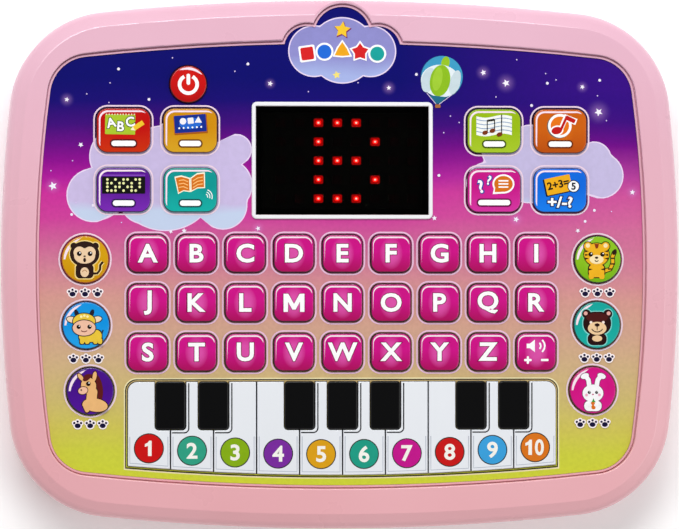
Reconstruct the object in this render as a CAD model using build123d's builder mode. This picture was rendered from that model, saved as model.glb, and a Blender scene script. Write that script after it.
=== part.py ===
from build123d import *
from math import hypot, sqrt
import os

# A child's learning tablet lying face up on its rubber feet, in millimetres.
# +X runs to the right of the face, +Y towards its top edge and +Z out of the face.
# The origin is under the middle of the case, at the level that the feet stand on.

# ---- layers, from the table up ----
REAR_BOTTOM = 1.2
FLOOR_TOP = 3.2
PARTING = 12.5
BOARD_UNDER = 15.2
BOARD_TOP = 16.8
MAT_TOP = 17.6
DOME_TOP = 18.3
FLANGE_UNDER = 19.2
FLANGE_TOP = 20.3
DECK_UNDER = 20.4
DECK_TOP = 22.4
OVERLAY_TOP = 23.0
LIP_TOP = 23.5
KEY_TOP = 24.4
RIM_TOP = 25.0

# ---- bowed outlines: half width, half height, radius of the two sides, of the two ends, of the corners ----
CASE_SHAPE = (120.0, 93.3, 506.0, 803.5, 36.0)
FACE_SHAPE = (108.2, 79.1, 460.0, 835.0, 15.0)
WALL = 2.2

# ---- cloud-shaped bump at the top of the sunk face, and the face's groove and lip ----
CLOUD_TOP_Y = 81.0
CLOUD_TOP_R = 11.1
CLOUD_SIDE_X = 12.5
CLOUD_SIDE_Y = 76.0
CLOUD_SIDE_R = 9.3
COLLAR_WIDE = 1.0
COLLAR_FOOT = 19.0
FACE_EDGE_ROUND = 0.5
GROOVE_WIDE = 0.45
GROOVE_FLOOR = 22.7
LIP_WIDE = 0.65
OVERLAY_GAP = 0.1

# ---- rounded frame of the front shell ----
BEVEL_IN = 5.2
BEVEL_DOWN = 2.6
SHOULDER_R = 4.0
CREASE_R = 0.8
FRAME_HOLLOW_IN = 6.5
FRAME_HOLLOW_TOP = 22.6
FACE_WALL = 1.8
BELLY_R = 8.0
SEAM_ROUND = 0.3
LEVEL_SLACK = 0.1
TONGUE_IN = 1.3
TONGUE_LOW = 11.4
TONGUE_GAP = 0.05

# ---- keys: width, height and corner radius of each kind, and where each one is ----
KEY_SIZES = {
    "letter": (14.3, 13.4, 3.4),
    "function": (19.2, 15.8, 4.0),
    "picture": (16.8, 16.8, 8.4),
    "power": (13.2, 13.2, 6.6),
}
KEY_GAP = 0.25
FLANGE_OUT = 0.7
KEY_ROUND = 0.6
LETTER_PITCH_X = 17.2
LETTER_PITCH_Y = 17.4
LETTER_TOP_Y = 3.9
LETTER_COLUMNS = 9
LETTER_NAMES = "abcdefghijklmnopqrstuvwxyz"
FUNCTION_X = (53.8, 77.3)
FUNCTION_Y = (47.2, 26.3)
LEFT_FUNCTIONS = (("abc", "blocks"), ("spell", "book"))
RIGHT_FUNCTIONS = (("song", "music"), ("quiz", "sums"))
PICTURE_SPOTS = ((90.8, 1.8), (90.5, -21.4), (89.0, -44.5))
LEFT_PICTURES = ("monkey", "calf", "horse")
RIGHT_PICTURES = ("tiger", "bear", "rabbit")
POWER_SPOT = (-54.5, 63.5)

# ---- piano: ten white keys, with seven black ones embossed in the face sheet ----
PIANO_TOP_Y = -41.1
PIANO_SIDE_LOW_Y = -71.1
PIANO_MID_LOW_Y = -74.5
PIANO_CORNER_R = 3.4
WHITE_KEYS = 10
WHITE_PITCH = 15.2
WHITE_SLIT = 0.5
HALF_KEY = 0.5
BLACK_BOUNDARIES = (1, 2, 4, 5, 6, 8, 9)
BLACK_WIDE = 10.6
BLACK_LONG = 17.0
BLACK_CORNER_R = 1.2
BLACK_GAP = 0.3
BLACK_TOP = 24.6

# ---- dot display ----
DISPLAY_Y = 36.7
WINDOW_SIZE = (61.0, 38.1)
WINDOW_LOW = 21.2
WINDOW_TOP = 23.5
WINDOW_GAP = 0.15
WINDOW_LEDGE = 2.0
DISPLAY_FRAME_SIZE = (64.1, 41.3)
DISPLAY_FRAME_R = 1.8
DISPLAY_FRAME_TOP = 23.9
LED_PITCH = 6.7
LED_COLUMNS = 8
LED_ROWS = 5
LED_MIDDLE_X = 1.85
LED_SIZE = (3.4, 2.9)
LED_TOP = 19.9

# ---- board, dome sheet and the pegs that hold them ----
BOARD_SIZE = (196.0, 134.0)
BOARD_CORNER_R = 20.0
MAT_IN = 1.5
DOME_R = 3.0
PEG_SPOTS = ((80.0, 60.5), (84.0, -61.0), (37.5, 30.0))
PEG_SHOULDER_R = 2.4
PEG_PIN_R = 1.3
PEG_LOW = 14.2
PEG_HOLE_GAP = 0.15
CHIP_SPOT = (52.0, 24.0)
CHIP_R = 7.0
CHIP_HIGH = 1.1
PLUG_SPOTS = ((-44.0, 40.0), (44.0, -20.0))
PLUG_SIZE = (8.0, 5.0)
PLUG_HIGH = 3.4

# ---- case screws ----
SCREW_SPOTS = ((94.0, 69.0), (-94.0, 69.0), (94.0, -69.0), (-94.0, -69.0), (0.0, 80.0), (0.0, -82.0))
SCREW_R = 1.3
SCREW_TIP = 18.0
SCREW_TIP_CHAMFER = 0.43
SCREW_HEAD_R = 2.5
SCREW_HEAD_LOW = 6.2
SCREW_SEAT = 8.0
PILOT_R = 1.35
PILOT_END = 19.2
BOSS_R = 3.2
BOSS_LOW = 12.6
POST_R = 4.2
POST_TOP = 12.4
POST_BORE_R = 1.5
POST_SINK_R = 2.8
DRIVE_LONG = 2.8
DRIVE_WIDE = 0.6
DRIVE_DEEP = 0.9

# ---- battery bay, with three AAA cells lying along X ----
BAY_Y = -8.0
BAY_LONG = 51.0
BAY_WIDE = 33.2
BAY_WALL = 1.2
BAY_ROOF_UNDER = 13.8
BAY_ROOF_TOP = 15.0
CELL_R = 5.25
CELL_LONG = 44.5
CELL_NUB_R = 1.9
CELL_NUB_HIGH = 0.9
CELL_PITCH = 10.9
CELL_Z = 8.35
CELL_END_GAP = 0.05
PLATE_THICK = 0.4
PLATE_HIGH = 8.6
PLATE_WIDE = 8.8
PLATE_GAP = 0.05
SPRING_R = 3.2
SPRING_WIRE_R = 0.3
SPRING_TURNS = 4

# ---- battery door, its hinge and its captive screw ----
DOOR_HALF_X = 28.5
DOOR_LOW_Y = BAY_Y - 20.1
DOOR_HIGH_Y = BAY_Y + 26.6
DOOR_UNDER = 1.25
DOOR_TOP = 2.75
DOOR_GAP = 0.35
DOOR_CORNER_R = 2.0
DOOR_SEAT = 2.8
LEDGE_TOP = 5.0
LEDGE_OUT = 3.0
HINGE_Y = DOOR_LOW_Y - 3.2
HINGE_Z = 2.6
HINGE_X = 16.0
KNUCKLE_R = 1.3
KNUCKLE_WIDE = 7.0
KNUCKLE_GAP = 0.3
HINGE_PIN_R = 0.7
HINGE_PIN_GAP = 0.08
HINGE_PIN_LONG = 1.2
DOOR_SCREW_Y = BAY_Y + 21.6
DOOR_BOSS_R = 3.75
DOOR_BOSS_TOP = 4.35
DOOR_BOSS_GAP = 0.35
DOOR_SCREW_HEAD_LOW = 1.35
DOOR_SCREW_HEAD_TOP = 2.85
DOOR_SCREW_TIP = 7.6
DOOR_SCREW_SINK_R = 2.7
DOOR_PILLAR_R = 4.9
DOOR_PILLAR_TOP = 9.4
DOOR_PILLAR_SEAT = 4.7
DOOR_PILLAR_BORE_R = 1.8
DOOR_PILLAR_BORE_TOP = 8.2

# ---- speaker and its grille ----
SPEAKER_SPOT = (-72.0, 30.0)
SPEAKER_PROFILE = (
    (0.0, 5.0), (5.0, 5.6), (14.5, 3.8), (15.5, 3.3), (18.0, 3.3), (18.0, 4.3),
    (16.5, 4.6), (9.5, 8.3), (9.5, 11.3), (0.0, 11.3),
)
SPEAKER_RING_IN = 18.3
SPEAKER_RING_OUT = 19.5
SPEAKER_RING_TOP = 5.2
GRILLE_HOLE_R = 1.0
GRILLE_RINGS = ((4.0, 6), (8.0, 12), (12.0, 18))

# ---- feet and leads ----
FOOT_SPOTS = ((85.0, 58.0), (-85.0, 58.0), (85.0, -58.0), (-85.0, -58.0))
FOOT_R = 5.0
FOOT_TOP = 2.0
FOOT_GAP = 0.05
FOOT_ROUND = 0.4
LEAD_R = 0.6
LEAD_BEND_R = 1.8
LEAD_PITCH = 2.4
SPEAKER_LEAD = ((-61.9, 30.0, 10.0), (-52.0, 30.0, 10.0), (-44.0, 40.0, 8.0), (-44.0, 40.0, 11.75))
BATTERY_LEAD = ((26.75, -14.0, 10.5), (34.0, -14.0, 10.5), (44.0, -20.0, 8.0), (44.0, -20.0, 11.75))

os.makedirs("parts", exist_ok=True)


def save(part, name):
    """Label a finished piece and write it as its own STEP file."""
    part.label = name
    export_step(part, f"parts/{name}.step")


def edges_at(builder, height):
    """The edges that lie level at that height."""
    return builder.edges().filter_by_position(Axis.Z, height - LEVEL_SLACK, height + LEVEL_SLACK)


def bowed_outline(shape, grow=0.0):
    """A rounded rectangle with bowed sides, enlarged all round by grow, as a sketch."""
    half_x, half_y, side_r, end_r, corner_r = [value + grow for value in shape]
    side_x = half_x - side_r
    end_y = half_y - end_r
    apart = hypot(side_x, end_y)
    along = (end_r**2 - side_r**2 + apart**2) / (2 * apart)
    across = sqrt(end_r**2 - along**2)
    x = (along * side_x - across * end_y) / apart
    y = end_y - (along * end_y + across * side_x) / apart
    with BuildSketch() as outline:
        with BuildLine():
            ThreePointArc((-x, y), (0, half_y), (x, y))
            ThreePointArc((x, y), (half_x, 0), (x, -y))
            ThreePointArc((x, -y), (0, -half_y), (-x, -y))
            ThreePointArc((-x, -y), (-half_x, 0), (-x, y))
        make_face()
        fillet(outline.vertices(), corner_r)
    return outline.sketch


def cloud_lobes(grow=0.0):
    """Draw the three lobes of the cloud-shaped bump in the sketch being built."""
    with Locations((0, CLOUD_TOP_Y)):
        Circle(CLOUD_TOP_R + grow)
    with Locations((-CLOUD_SIDE_X, CLOUD_SIDE_Y), (CLOUD_SIDE_X, CLOUD_SIDE_Y)):
        Circle(CLOUD_SIDE_R + grow)


def face_profile(grow=0.0):
    """Draw the sunk face, bump included, in the sketch being built."""
    add(bowed_outline(FACE_SHAPE, grow))
    cloud_lobes(grow)


def key_profile(kind, grow=0.0):
    """Draw one key's outline, enlarged by grow, in the sketch being built."""
    width, height, corner_r = KEY_SIZES[kind]
    if width == 2 * corner_r:
        Circle(corner_r + grow)
    else:
        RectangleRounded(width + 2 * grow, height + 2 * grow, corner_r + grow)


def mirrored(spots):
    """The given spots and their mirror images across the YZ plane."""
    return [(side * x, y) for x, y in spots for side in (-1, 1)]


def all_keys():
    """Every separately moving key, as name, kind and centre."""
    keys = [("power_button", "power", POWER_SPOT)]
    half_row = (LETTER_COLUMNS - 1) / 2
    for number, name in enumerate([*LETTER_NAMES, "volume"]):
        row, column = divmod(number, LETTER_COLUMNS)
        centre = ((column - half_row) * LETTER_PITCH_X, LETTER_TOP_Y - row * LETTER_PITCH_Y)
        keys.append((f"key_{name}", "letter", centre))
    for row, y in enumerate(FUNCTION_Y):
        outer_left, inner_left = LEFT_FUNCTIONS[row]
        inner_right, outer_right = RIGHT_FUNCTIONS[row]
        keys.append((f"key_{outer_left}", "function", (-FUNCTION_X[1], y)))
        keys.append((f"key_{inner_left}", "function", (-FUNCTION_X[0], y)))
        keys.append((f"key_{inner_right}", "function", (FUNCTION_X[0], y)))
        keys.append((f"key_{outer_right}", "function", (FUNCTION_X[1], y)))
    for (x, y), left, right in zip(PICTURE_SPOTS, LEFT_PICTURES, RIGHT_PICTURES):
        keys.append((f"key_{left}", "picture", (-x, y)))
        keys.append((f"key_{right}", "picture", (x, y)))
    return keys


def piano_outline(grow=0.0):
    """Outline of the whole piano, enlarged by grow: rounded above, with a bowed lower edge."""
    half_x = WHITE_KEYS * WHITE_PITCH / 2 + grow
    top_y = PIANO_TOP_Y + grow
    side_low_y = PIANO_SIDE_LOW_Y - grow
    with BuildSketch() as outline:
        with BuildLine():
            Polyline((-half_x, side_low_y), (-half_x, top_y), (half_x, top_y), (half_x, side_low_y))
            ThreePointArc((half_x, side_low_y), (0, PIANO_MID_LOW_Y - grow), (-half_x, side_low_y))
        make_face()
        fillet(outline.vertices().group_by(Axis.Y)[-1], PIANO_CORNER_R)
    return outline.sketch


def piano_x(keys_from_left):
    """How far across the face a place on the piano is, counted in white keys from its left end."""
    return (keys_from_left - WHITE_KEYS / 2) * WHITE_PITCH


def black_pads(grow=0.0):
    """Draw the seven black keys, enlarged by grow, in the sketch being built."""
    with Locations(*[(piano_x(b), PIANO_TOP_Y - BLACK_LONG / 2) for b in BLACK_BOUNDARIES]):
        RectangleRounded(BLACK_WIDE + 2 * grow, BLACK_LONG + 2 * grow, BLACK_CORNER_R + grow)


def white_key_profile(number, grow=0.0, reach=0.0):
    """One white key's outline with the black keys' notches cut out, as a sketch.

    It is enlarged all round by grow, and above and below also by reach."""
    middle_y = (PIANO_TOP_Y + PIANO_MID_LOW_Y) / 2
    height = 2 * (PIANO_TOP_Y - PIANO_MID_LOW_Y)
    with BuildSketch() as profile:
        with Locations((piano_x(number + HALF_KEY), middle_y)):
            Rectangle(WHITE_PITCH - WHITE_SLIT + 2 * grow, height)
        add(piano_outline(grow + reach - WHITE_SLIT / 2), mode=Mode.INTERSECT)
        add(black_notches(grow), mode=Mode.SUBTRACT)
    return profile.sketch


def black_notches(grow):
    """The spaces that the black keys and their gaps leave in the white keys, as a sketch."""
    with BuildSketch() as notches:
        black_pads(BLACK_GAP - grow)
        mouth_wide = BLACK_WIDE + 2 * (BLACK_GAP - grow)
        with Locations(*[(piano_x(b), PIANO_TOP_Y - BLACK_CORNER_R) for b in BLACK_BOUNDARIES]):
            Rectangle(mouth_wide, BLACK_LONG / 2, align=(Align.CENTER, Align.MIN))
    return notches.sketch


def screw_body(head_low, head_top, tip):
    """A cross-head screw standing head down over the origin, as a part."""
    with BuildPart() as screw:
        with BuildSketch(Plane.XY.offset(head_low)):
            Circle(SCREW_HEAD_R)
        extrude(amount=head_top - head_low)
        with BuildSketch(Plane.XY.offset(head_top)):
            Circle(SCREW_R)
        extrude(amount=tip - head_top)
        chamfer(screw.faces().sort_by(Axis.Z)[-1].edges(), SCREW_TIP_CHAMFER)
        with BuildSketch(Plane.XY.offset(head_low)):
            Rectangle(DRIVE_LONG, DRIVE_WIDE)
            Rectangle(DRIVE_WIDE, DRIVE_LONG)
        extrude(amount=DRIVE_DEEP, mode=Mode.SUBTRACT)
    return screw.part


keys = all_keys()

# Front shell: rounded frame, sunk deck with key openings, bosses for the screws and pegs for the board.
with BuildPart() as front_shell:
    with BuildSketch(Plane.XY.offset(PARTING)):
        add(bowed_outline(CASE_SHAPE))
    extrude(amount=RIM_TOP - PARTING)
    rim_face = front_shell.faces().sort_by(Axis.Z)[-1]
    chamfer(rim_face.edges(), length=BEVEL_IN, length2=BEVEL_DOWN, reference=rim_face)
    fillet(edges_at(front_shell, RIM_TOP), CREASE_R)
    fillet(edges_at(front_shell, RIM_TOP - BEVEL_DOWN), SHOULDER_R)
    fillet(front_shell.edges().group_by(Axis.Z)[0], SEAM_ROUND)

    # Collar round the cloud-shaped bump, then the sunk face with its groove and lip.
    with BuildSketch(Plane.XY.offset(COLLAR_FOOT)):
        cloud_lobes(COLLAR_WIDE)
    extrude(amount=RIM_TOP - COLLAR_FOOT)
    with BuildSketch(Plane.XY.offset(LIP_TOP)):
        face_profile()
    extrude(amount=RIM_TOP - LIP_TOP, mode=Mode.SUBTRACT)
    rim_face = front_shell.faces().filter_by_position(Axis.Z, RIM_TOP, RIM_TOP).sort_by(SortBy.AREA)[-1]
    fillet(rim_face.inner_wires()[0].edges(), FACE_EDGE_ROUND)
    with BuildSketch(Plane.XY.offset(GROOVE_FLOOR)):
        face_profile()
        with BuildSketch(mode=Mode.SUBTRACT):
            face_profile(-GROOVE_WIDE)
    extrude(amount=LIP_TOP - GROOVE_FLOOR, mode=Mode.SUBTRACT)
    with BuildSketch(Plane.XY.offset(DECK_TOP)):
        face_profile(-GROOVE_WIDE - LIP_WIDE)
    extrude(amount=LIP_TOP - DECK_TOP, mode=Mode.SUBTRACT)

    # The inside: the main hollow under the deck, and a shallow one under the frame.
    with BuildSketch(Plane.XY.offset(PARTING)):
        add(bowed_outline(CASE_SHAPE, -WALL))
    extrude(amount=DECK_UNDER - PARTING, mode=Mode.SUBTRACT)
    with BuildSketch(Plane.XY.offset(DECK_UNDER)):
        add(bowed_outline(CASE_SHAPE, -FRAME_HOLLOW_IN))
        with BuildSketch(mode=Mode.SUBTRACT):
            face_profile(FACE_WALL)
    extrude(amount=FRAME_HOLLOW_TOP - DECK_UNDER, mode=Mode.SUBTRACT)

    # Openings in the deck for the keys, the piano and the display window with its ledge.
    with BuildSketch(Plane.XY.offset(DECK_UNDER)):
        for name, kind, centre in keys:
            with Locations(centre):
                key_profile(kind, KEY_GAP)
        for number in range(WHITE_KEYS):
            add(white_key_profile(number, KEY_GAP))
        with Locations((0, DISPLAY_Y)):
            Rectangle(WINDOW_SIZE[0] - 2 * WINDOW_LEDGE, WINDOW_SIZE[1] - 2 * WINDOW_LEDGE)
    extrude(amount=DECK_TOP - DECK_UNDER, mode=Mode.SUBTRACT)
    with BuildSketch(Plane.XY.offset(WINDOW_LOW)):
        with Locations((0, DISPLAY_Y)):
            Rectangle(WINDOW_SIZE[0] + 2 * WINDOW_GAP, WINDOW_SIZE[1] + 2 * WINDOW_GAP)
    extrude(amount=DECK_TOP - WINDOW_LOW, mode=Mode.SUBTRACT)

    # Screw bosses, board pegs and the tongue that locates the rear shell.
    with BuildSketch(Plane.XY.offset(BOSS_LOW)):
        with Locations(*SCREW_SPOTS):
            Circle(BOSS_R)
    extrude(amount=DECK_UNDER - BOSS_LOW)
    with BuildSketch(Plane.XY.offset(BOSS_LOW)):
        with Locations(*SCREW_SPOTS):
            Circle(PILOT_R)
    extrude(amount=PILOT_END - BOSS_LOW, mode=Mode.SUBTRACT)
    with BuildSketch(Plane.XY.offset(BOARD_TOP)):
        with Locations(*mirrored(PEG_SPOTS)):
            Circle(PEG_SHOULDER_R)
    extrude(amount=DECK_UNDER - BOARD_TOP)
    with BuildSketch(Plane.XY.offset(PEG_LOW)):
        with Locations(*mirrored(PEG_SPOTS)):
            Circle(PEG_PIN_R)
    extrude(amount=BOARD_TOP - PEG_LOW)
    with BuildSketch(Plane.XY.offset(TONGUE_LOW)):
        add(bowed_outline(CASE_SHAPE, -TONGUE_IN))
        add(bowed_outline(CASE_SHAPE, -WALL), mode=Mode.SUBTRACT)
    extrude(amount=PARTING + SEAM_ROUND - TONGUE_LOW)
save(front_shell.part, "front_shell")

# Hollow of the rear shell, rounded like its outside.
with BuildPart() as rear_hollow:
    with BuildSketch(Plane.XY.offset(FLOOR_TOP)):
        add(bowed_outline(CASE_SHAPE, -WALL))
    extrude(amount=PARTING - FLOOR_TOP)
    fillet(rear_hollow.edges().group_by(Axis.Z)[0], BELLY_R - WALL)

door_length = DOOR_HIGH_Y - DOOR_LOW_Y
door_middle_y = (DOOR_HIGH_Y + DOOR_LOW_Y) / 2
ledge_low_y = HINGE_Y - KNUCKLE_R - LEDGE_OUT
ledge_high_y = DOOR_HIGH_Y + LEDGE_OUT

# Rear shell: rounded tray with the battery bay, speaker ring, screw posts and foot recesses.
with BuildPart() as rear_shell:
    with BuildSketch(Plane.XY.offset(REAR_BOTTOM)):
        add(bowed_outline(CASE_SHAPE))
    extrude(amount=PARTING - REAR_BOTTOM)
    fillet(rear_shell.edges().group_by(Axis.Z)[0], BELLY_R)
    fillet(rear_shell.edges().group_by(Axis.Z)[-1], SEAM_ROUND)
    add(rear_hollow.part, mode=Mode.SUBTRACT)
    with BuildSketch(Plane.XY.offset(TONGUE_LOW - TONGUE_GAP)):
        add(bowed_outline(CASE_SHAPE, TONGUE_GAP - TONGUE_IN))
        add(bowed_outline(CASE_SHAPE, -WALL - TONGUE_GAP), mode=Mode.SUBTRACT)
    extrude(amount=PARTING - TONGUE_LOW + TONGUE_GAP, mode=Mode.SUBTRACT)

    # Battery bay: a thick ledge round the door, four walls and a roof.
    with BuildSketch(Plane.XY.offset(FLOOR_TOP)):
        with Locations((0, (ledge_low_y + ledge_high_y) / 2)):
            Rectangle(2 * (DOOR_HALF_X + LEDGE_OUT), ledge_high_y - ledge_low_y)
    extrude(amount=LEDGE_TOP - FLOOR_TOP)
    with BuildSketch(Plane.XY.offset(LEDGE_TOP)):
        with Locations((0, BAY_Y)):
            Rectangle(BAY_LONG + 2 * BAY_WALL, BAY_WIDE + 2 * BAY_WALL)
    extrude(amount=BAY_ROOF_TOP - LEDGE_TOP)
    with BuildSketch(Plane.XY.offset(REAR_BOTTOM)):
        with Locations((0, BAY_Y)):
            Rectangle(BAY_LONG, BAY_WIDE)
    extrude(amount=BAY_ROOF_UNDER - REAR_BOTTOM, mode=Mode.SUBTRACT)
    with BuildSketch(Plane.XY.offset(REAR_BOTTOM)):
        with Locations((0, door_middle_y)):
            RectangleRounded(
                2 * (DOOR_HALF_X + DOOR_GAP), door_length + 2 * DOOR_GAP, DOOR_CORNER_R + DOOR_GAP
            )
    extrude(amount=DOOR_SEAT - REAR_BOTTOM, mode=Mode.SUBTRACT)

    # Pillar for the door's screw.
    with BuildSketch(Plane.XY.offset(LEDGE_TOP)):
        with Locations((0, DOOR_SCREW_Y)):
            Circle(DOOR_PILLAR_R)
    extrude(amount=DOOR_PILLAR_TOP - LEDGE_TOP)
    with BuildSketch(Plane.XY.offset(DOOR_SEAT)):
        with Locations((0, DOOR_SCREW_Y)):
            Circle(DOOR_BOSS_R + DOOR_BOSS_GAP)
    extrude(amount=DOOR_PILLAR_SEAT - DOOR_SEAT, mode=Mode.SUBTRACT)
    with BuildSketch(Plane.XY.offset(DOOR_PILLAR_SEAT)):
        with Locations((0, DOOR_SCREW_Y)):
            Circle(DOOR_PILLAR_BORE_R)
    extrude(amount=DOOR_PILLAR_BORE_TOP - DOOR_PILLAR_SEAT, mode=Mode.SUBTRACT)

    # Notches and pin holes of the door's two hinge knuckles.
    notch_low_y = HINGE_Y - KNUCKLE_R - KNUCKLE_GAP
    notch_wide = KNUCKLE_WIDE + 2 * KNUCKLE_GAP
    with BuildSketch(Plane.XY.offset(REAR_BOTTOM)):
        with Locations((-HINGE_X, notch_low_y), (HINGE_X, notch_low_y)):
            Rectangle(notch_wide, DOOR_LOW_Y - notch_low_y, align=(Align.CENTER, Align.MIN))
    extrude(amount=HINGE_Z + KNUCKLE_R + KNUCKLE_GAP - REAR_BOTTOM, mode=Mode.SUBTRACT)
    for side in (-1, 1):
        hole_depth = KNUCKLE_WIDE / 2 + HINGE_PIN_LONG + KNUCKLE_GAP
        with BuildSketch(Plane.YZ.offset(side * HINGE_X)):
            with Locations((HINGE_Y, HINGE_Z)):
                Circle(HINGE_PIN_R + HINGE_PIN_GAP)
        extrude(amount=hole_depth, both=True, mode=Mode.SUBTRACT)

    # Screw posts, open below for the heads.
    with BuildSketch(Plane.XY.offset(FLOOR_TOP - SEAM_ROUND)):
        with Locations(*SCREW_SPOTS):
            Circle(POST_R)
    extrude(amount=POST_TOP - FLOOR_TOP + SEAM_ROUND)
    with BuildSketch(Plane.XY.offset(REAR_BOTTOM)):
        with Locations(*SCREW_SPOTS):
            Circle(POST_SINK_R)
    extrude(amount=SCREW_SEAT - REAR_BOTTOM, mode=Mode.SUBTRACT)
    with BuildSketch(Plane.XY.offset(SCREW_SEAT)):
        with Locations(*SCREW_SPOTS):
            Circle(POST_BORE_R)
    extrude(amount=POST_TOP - SCREW_SEAT, mode=Mode.SUBTRACT)

    # Speaker ring and grille, and the recesses of the feet.
    with BuildSketch(Plane.XY.offset(FLOOR_TOP)):
        with Locations(SPEAKER_SPOT):
            Circle(SPEAKER_RING_OUT)
            Circle(SPEAKER_RING_IN, mode=Mode.SUBTRACT)
    extrude(amount=SPEAKER_RING_TOP - FLOOR_TOP)
    with BuildSketch(Plane.XY.offset(REAR_BOTTOM)):
        with Locations(SPEAKER_SPOT):
            Circle(GRILLE_HOLE_R)
            for ring_r, count in GRILLE_RINGS:
                with PolarLocations(ring_r, count):
                    Circle(GRILLE_HOLE_R)
    extrude(amount=FLOOR_TOP - REAR_BOTTOM, mode=Mode.SUBTRACT)
    with BuildSketch(Plane.XY.offset(REAR_BOTTOM)):
        with Locations(*FOOT_SPOTS):
            Circle(FOOT_R + FOOT_GAP)
    extrude(amount=FOOT_TOP - REAR_BOTTOM, mode=Mode.SUBTRACT)
save(rear_shell.part, "rear_shell")

# Printed face sheet with the black piano keys embossed in it.
with BuildPart() as graphic_overlay:
    with BuildSketch(Plane.XY.offset(DECK_TOP)):
        face_profile(-GROOVE_WIDE - LIP_WIDE - OVERLAY_GAP)
        with BuildSketch(mode=Mode.SUBTRACT):
            for name, kind, centre in keys:
                with Locations(centre):
                    key_profile(kind, KEY_GAP)
            for number in range(WHITE_KEYS):
                add(white_key_profile(number, KEY_GAP))
            with Locations((0, DISPLAY_Y)):
                Rectangle(WINDOW_SIZE[0] + 2 * WINDOW_GAP, WINDOW_SIZE[1] + 2 * WINDOW_GAP)
    extrude(amount=OVERLAY_TOP - DECK_TOP)
    with BuildSketch(Plane.XY.offset(OVERLAY_TOP)):
        black_pads()
    extrude(amount=BLACK_TOP - OVERLAY_TOP)
    fillet(graphic_overlay.edges().group_by(Axis.Z)[-1], KEY_ROUND)
save(graphic_overlay.part, "graphic_overlay")

# Separately moving keys: a rounded cap over a wider flange that stops under the deck.
for name, kind, centre in keys:
    with BuildPart() as key:
        with BuildSketch(Plane.XY.offset(FLANGE_TOP)):
            with Locations(centre):
                key_profile(kind)
        extrude(amount=KEY_TOP - FLANGE_TOP)
        fillet(key.edges().group_by(Axis.Z)[-1], KEY_ROUND)
        with BuildSketch(Plane.XY.offset(FLANGE_UNDER)):
            with Locations(centre):
                key_profile(kind, FLANGE_OUT)
        extrude(amount=FLANGE_TOP - FLANGE_UNDER)
    save(key.part, name)

# Ten white piano keys, cut round the black ones, each with a flange under the deck above and below.
with BuildPart() as piano_keys:
    for number in range(WHITE_KEYS):
        with BuildSketch(Plane.XY.offset(FLANGE_TOP)):
            add(white_key_profile(number))
        extrude(amount=KEY_TOP - FLANGE_TOP)
        with BuildSketch(Plane.XY.offset(FLANGE_UNDER)):
            add(white_key_profile(number, reach=FLANGE_OUT))
        extrude(amount=FLANGE_TOP - FLANGE_UNDER)
    fillet(piano_keys.edges().group_by(Axis.Z)[-1], KEY_ROUND / 2)
save(piano_keys.part, "piano_keys")

# Smoked window on its ledge, and the white frame round it on the face sheet.
with BuildPart() as display_window:
    with BuildSketch(Plane.XY.offset(WINDOW_LOW)):
        with Locations((0, DISPLAY_Y)):
            Rectangle(*WINDOW_SIZE)
    extrude(amount=WINDOW_TOP - WINDOW_LOW)
save(display_window.part, "display_window")

with BuildPart() as display_frame:
    with BuildSketch(Plane.XY.offset(OVERLAY_TOP)):
        with Locations((0, DISPLAY_Y)):
            RectangleRounded(*DISPLAY_FRAME_SIZE, DISPLAY_FRAME_R)
            Rectangle(
                WINDOW_SIZE[0] + 2 * WINDOW_GAP, WINDOW_SIZE[1] + 2 * WINDOW_GAP, mode=Mode.SUBTRACT
            )
    extrude(amount=DISPLAY_FRAME_TOP - OVERLAY_TOP)
    chamfer(display_frame.edges().group_by(Axis.Z)[-1], KEY_ROUND / 2)
save(display_frame.part, "display_frame")

# Lamps of the dot display, soldered on the board.
with BuildPart() as led_matrix:
    with BuildSketch(Plane.XY.offset(BOARD_TOP)):
        with Locations((LED_MIDDLE_X, DISPLAY_Y)):
            with GridLocations(LED_PITCH, LED_PITCH, LED_COLUMNS, LED_ROWS):
                Rectangle(*LED_SIZE)
    extrude(amount=LED_TOP - BOARD_TOP)
save(led_matrix.part, "led_matrix")

# Circuit board with its sealed chip and two lead sockets underneath.
with BuildPart() as circuit_board:
    with BuildSketch(Plane.XY.offset(BOARD_UNDER)):
        RectangleRounded(*BOARD_SIZE, BOARD_CORNER_R)
        with Locations(*mirrored(PEG_SPOTS)):
            Circle(PEG_PIN_R + PEG_HOLE_GAP, mode=Mode.SUBTRACT)
    extrude(amount=BOARD_TOP - BOARD_UNDER)
    with BuildSketch(Plane.XY.offset(BOARD_UNDER)):
        with Locations(CHIP_SPOT):
            Circle(CHIP_R)
    extrude(amount=-CHIP_HIGH)
    with BuildSketch(Plane.XY.offset(BOARD_UNDER)):
        with Locations(*PLUG_SPOTS):
            Rectangle(*PLUG_SIZE)
    extrude(amount=-PLUG_HIGH)
save(circuit_board.part, "circuit_board")

# Rubber sheet on the board, with one dome under each key.
with BuildPart() as switch_mat:
    with BuildSketch(Plane.XY.offset(BOARD_TOP)):
        RectangleRounded(BOARD_SIZE[0] - 2 * MAT_IN, BOARD_SIZE[1] - 2 * MAT_IN, BOARD_CORNER_R - MAT_IN)
        with Locations((0, DISPLAY_Y)):
            Rectangle(*WINDOW_SIZE, mode=Mode.SUBTRACT)
        with Locations(*mirrored(PEG_SPOTS)):
            Circle(PEG_SHOULDER_R + PEG_HOLE_GAP, mode=Mode.SUBTRACT)
    extrude(amount=MAT_TOP - BOARD_TOP)
    white_middle_y = (PIANO_TOP_Y - BLACK_LONG + PIANO_SIDE_LOW_Y) / 2
    white_middles = [(piano_x(number + HALF_KEY), white_middle_y) for number in range(WHITE_KEYS)]
    with BuildSketch(Plane.XY.offset(MAT_TOP)):
        with Locations(*[centre for name, kind, centre in keys], *white_middles):
            Circle(DOME_R)
    extrude(amount=DOME_TOP - MAT_TOP)
save(switch_mat.part, "switch_mat")

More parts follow.
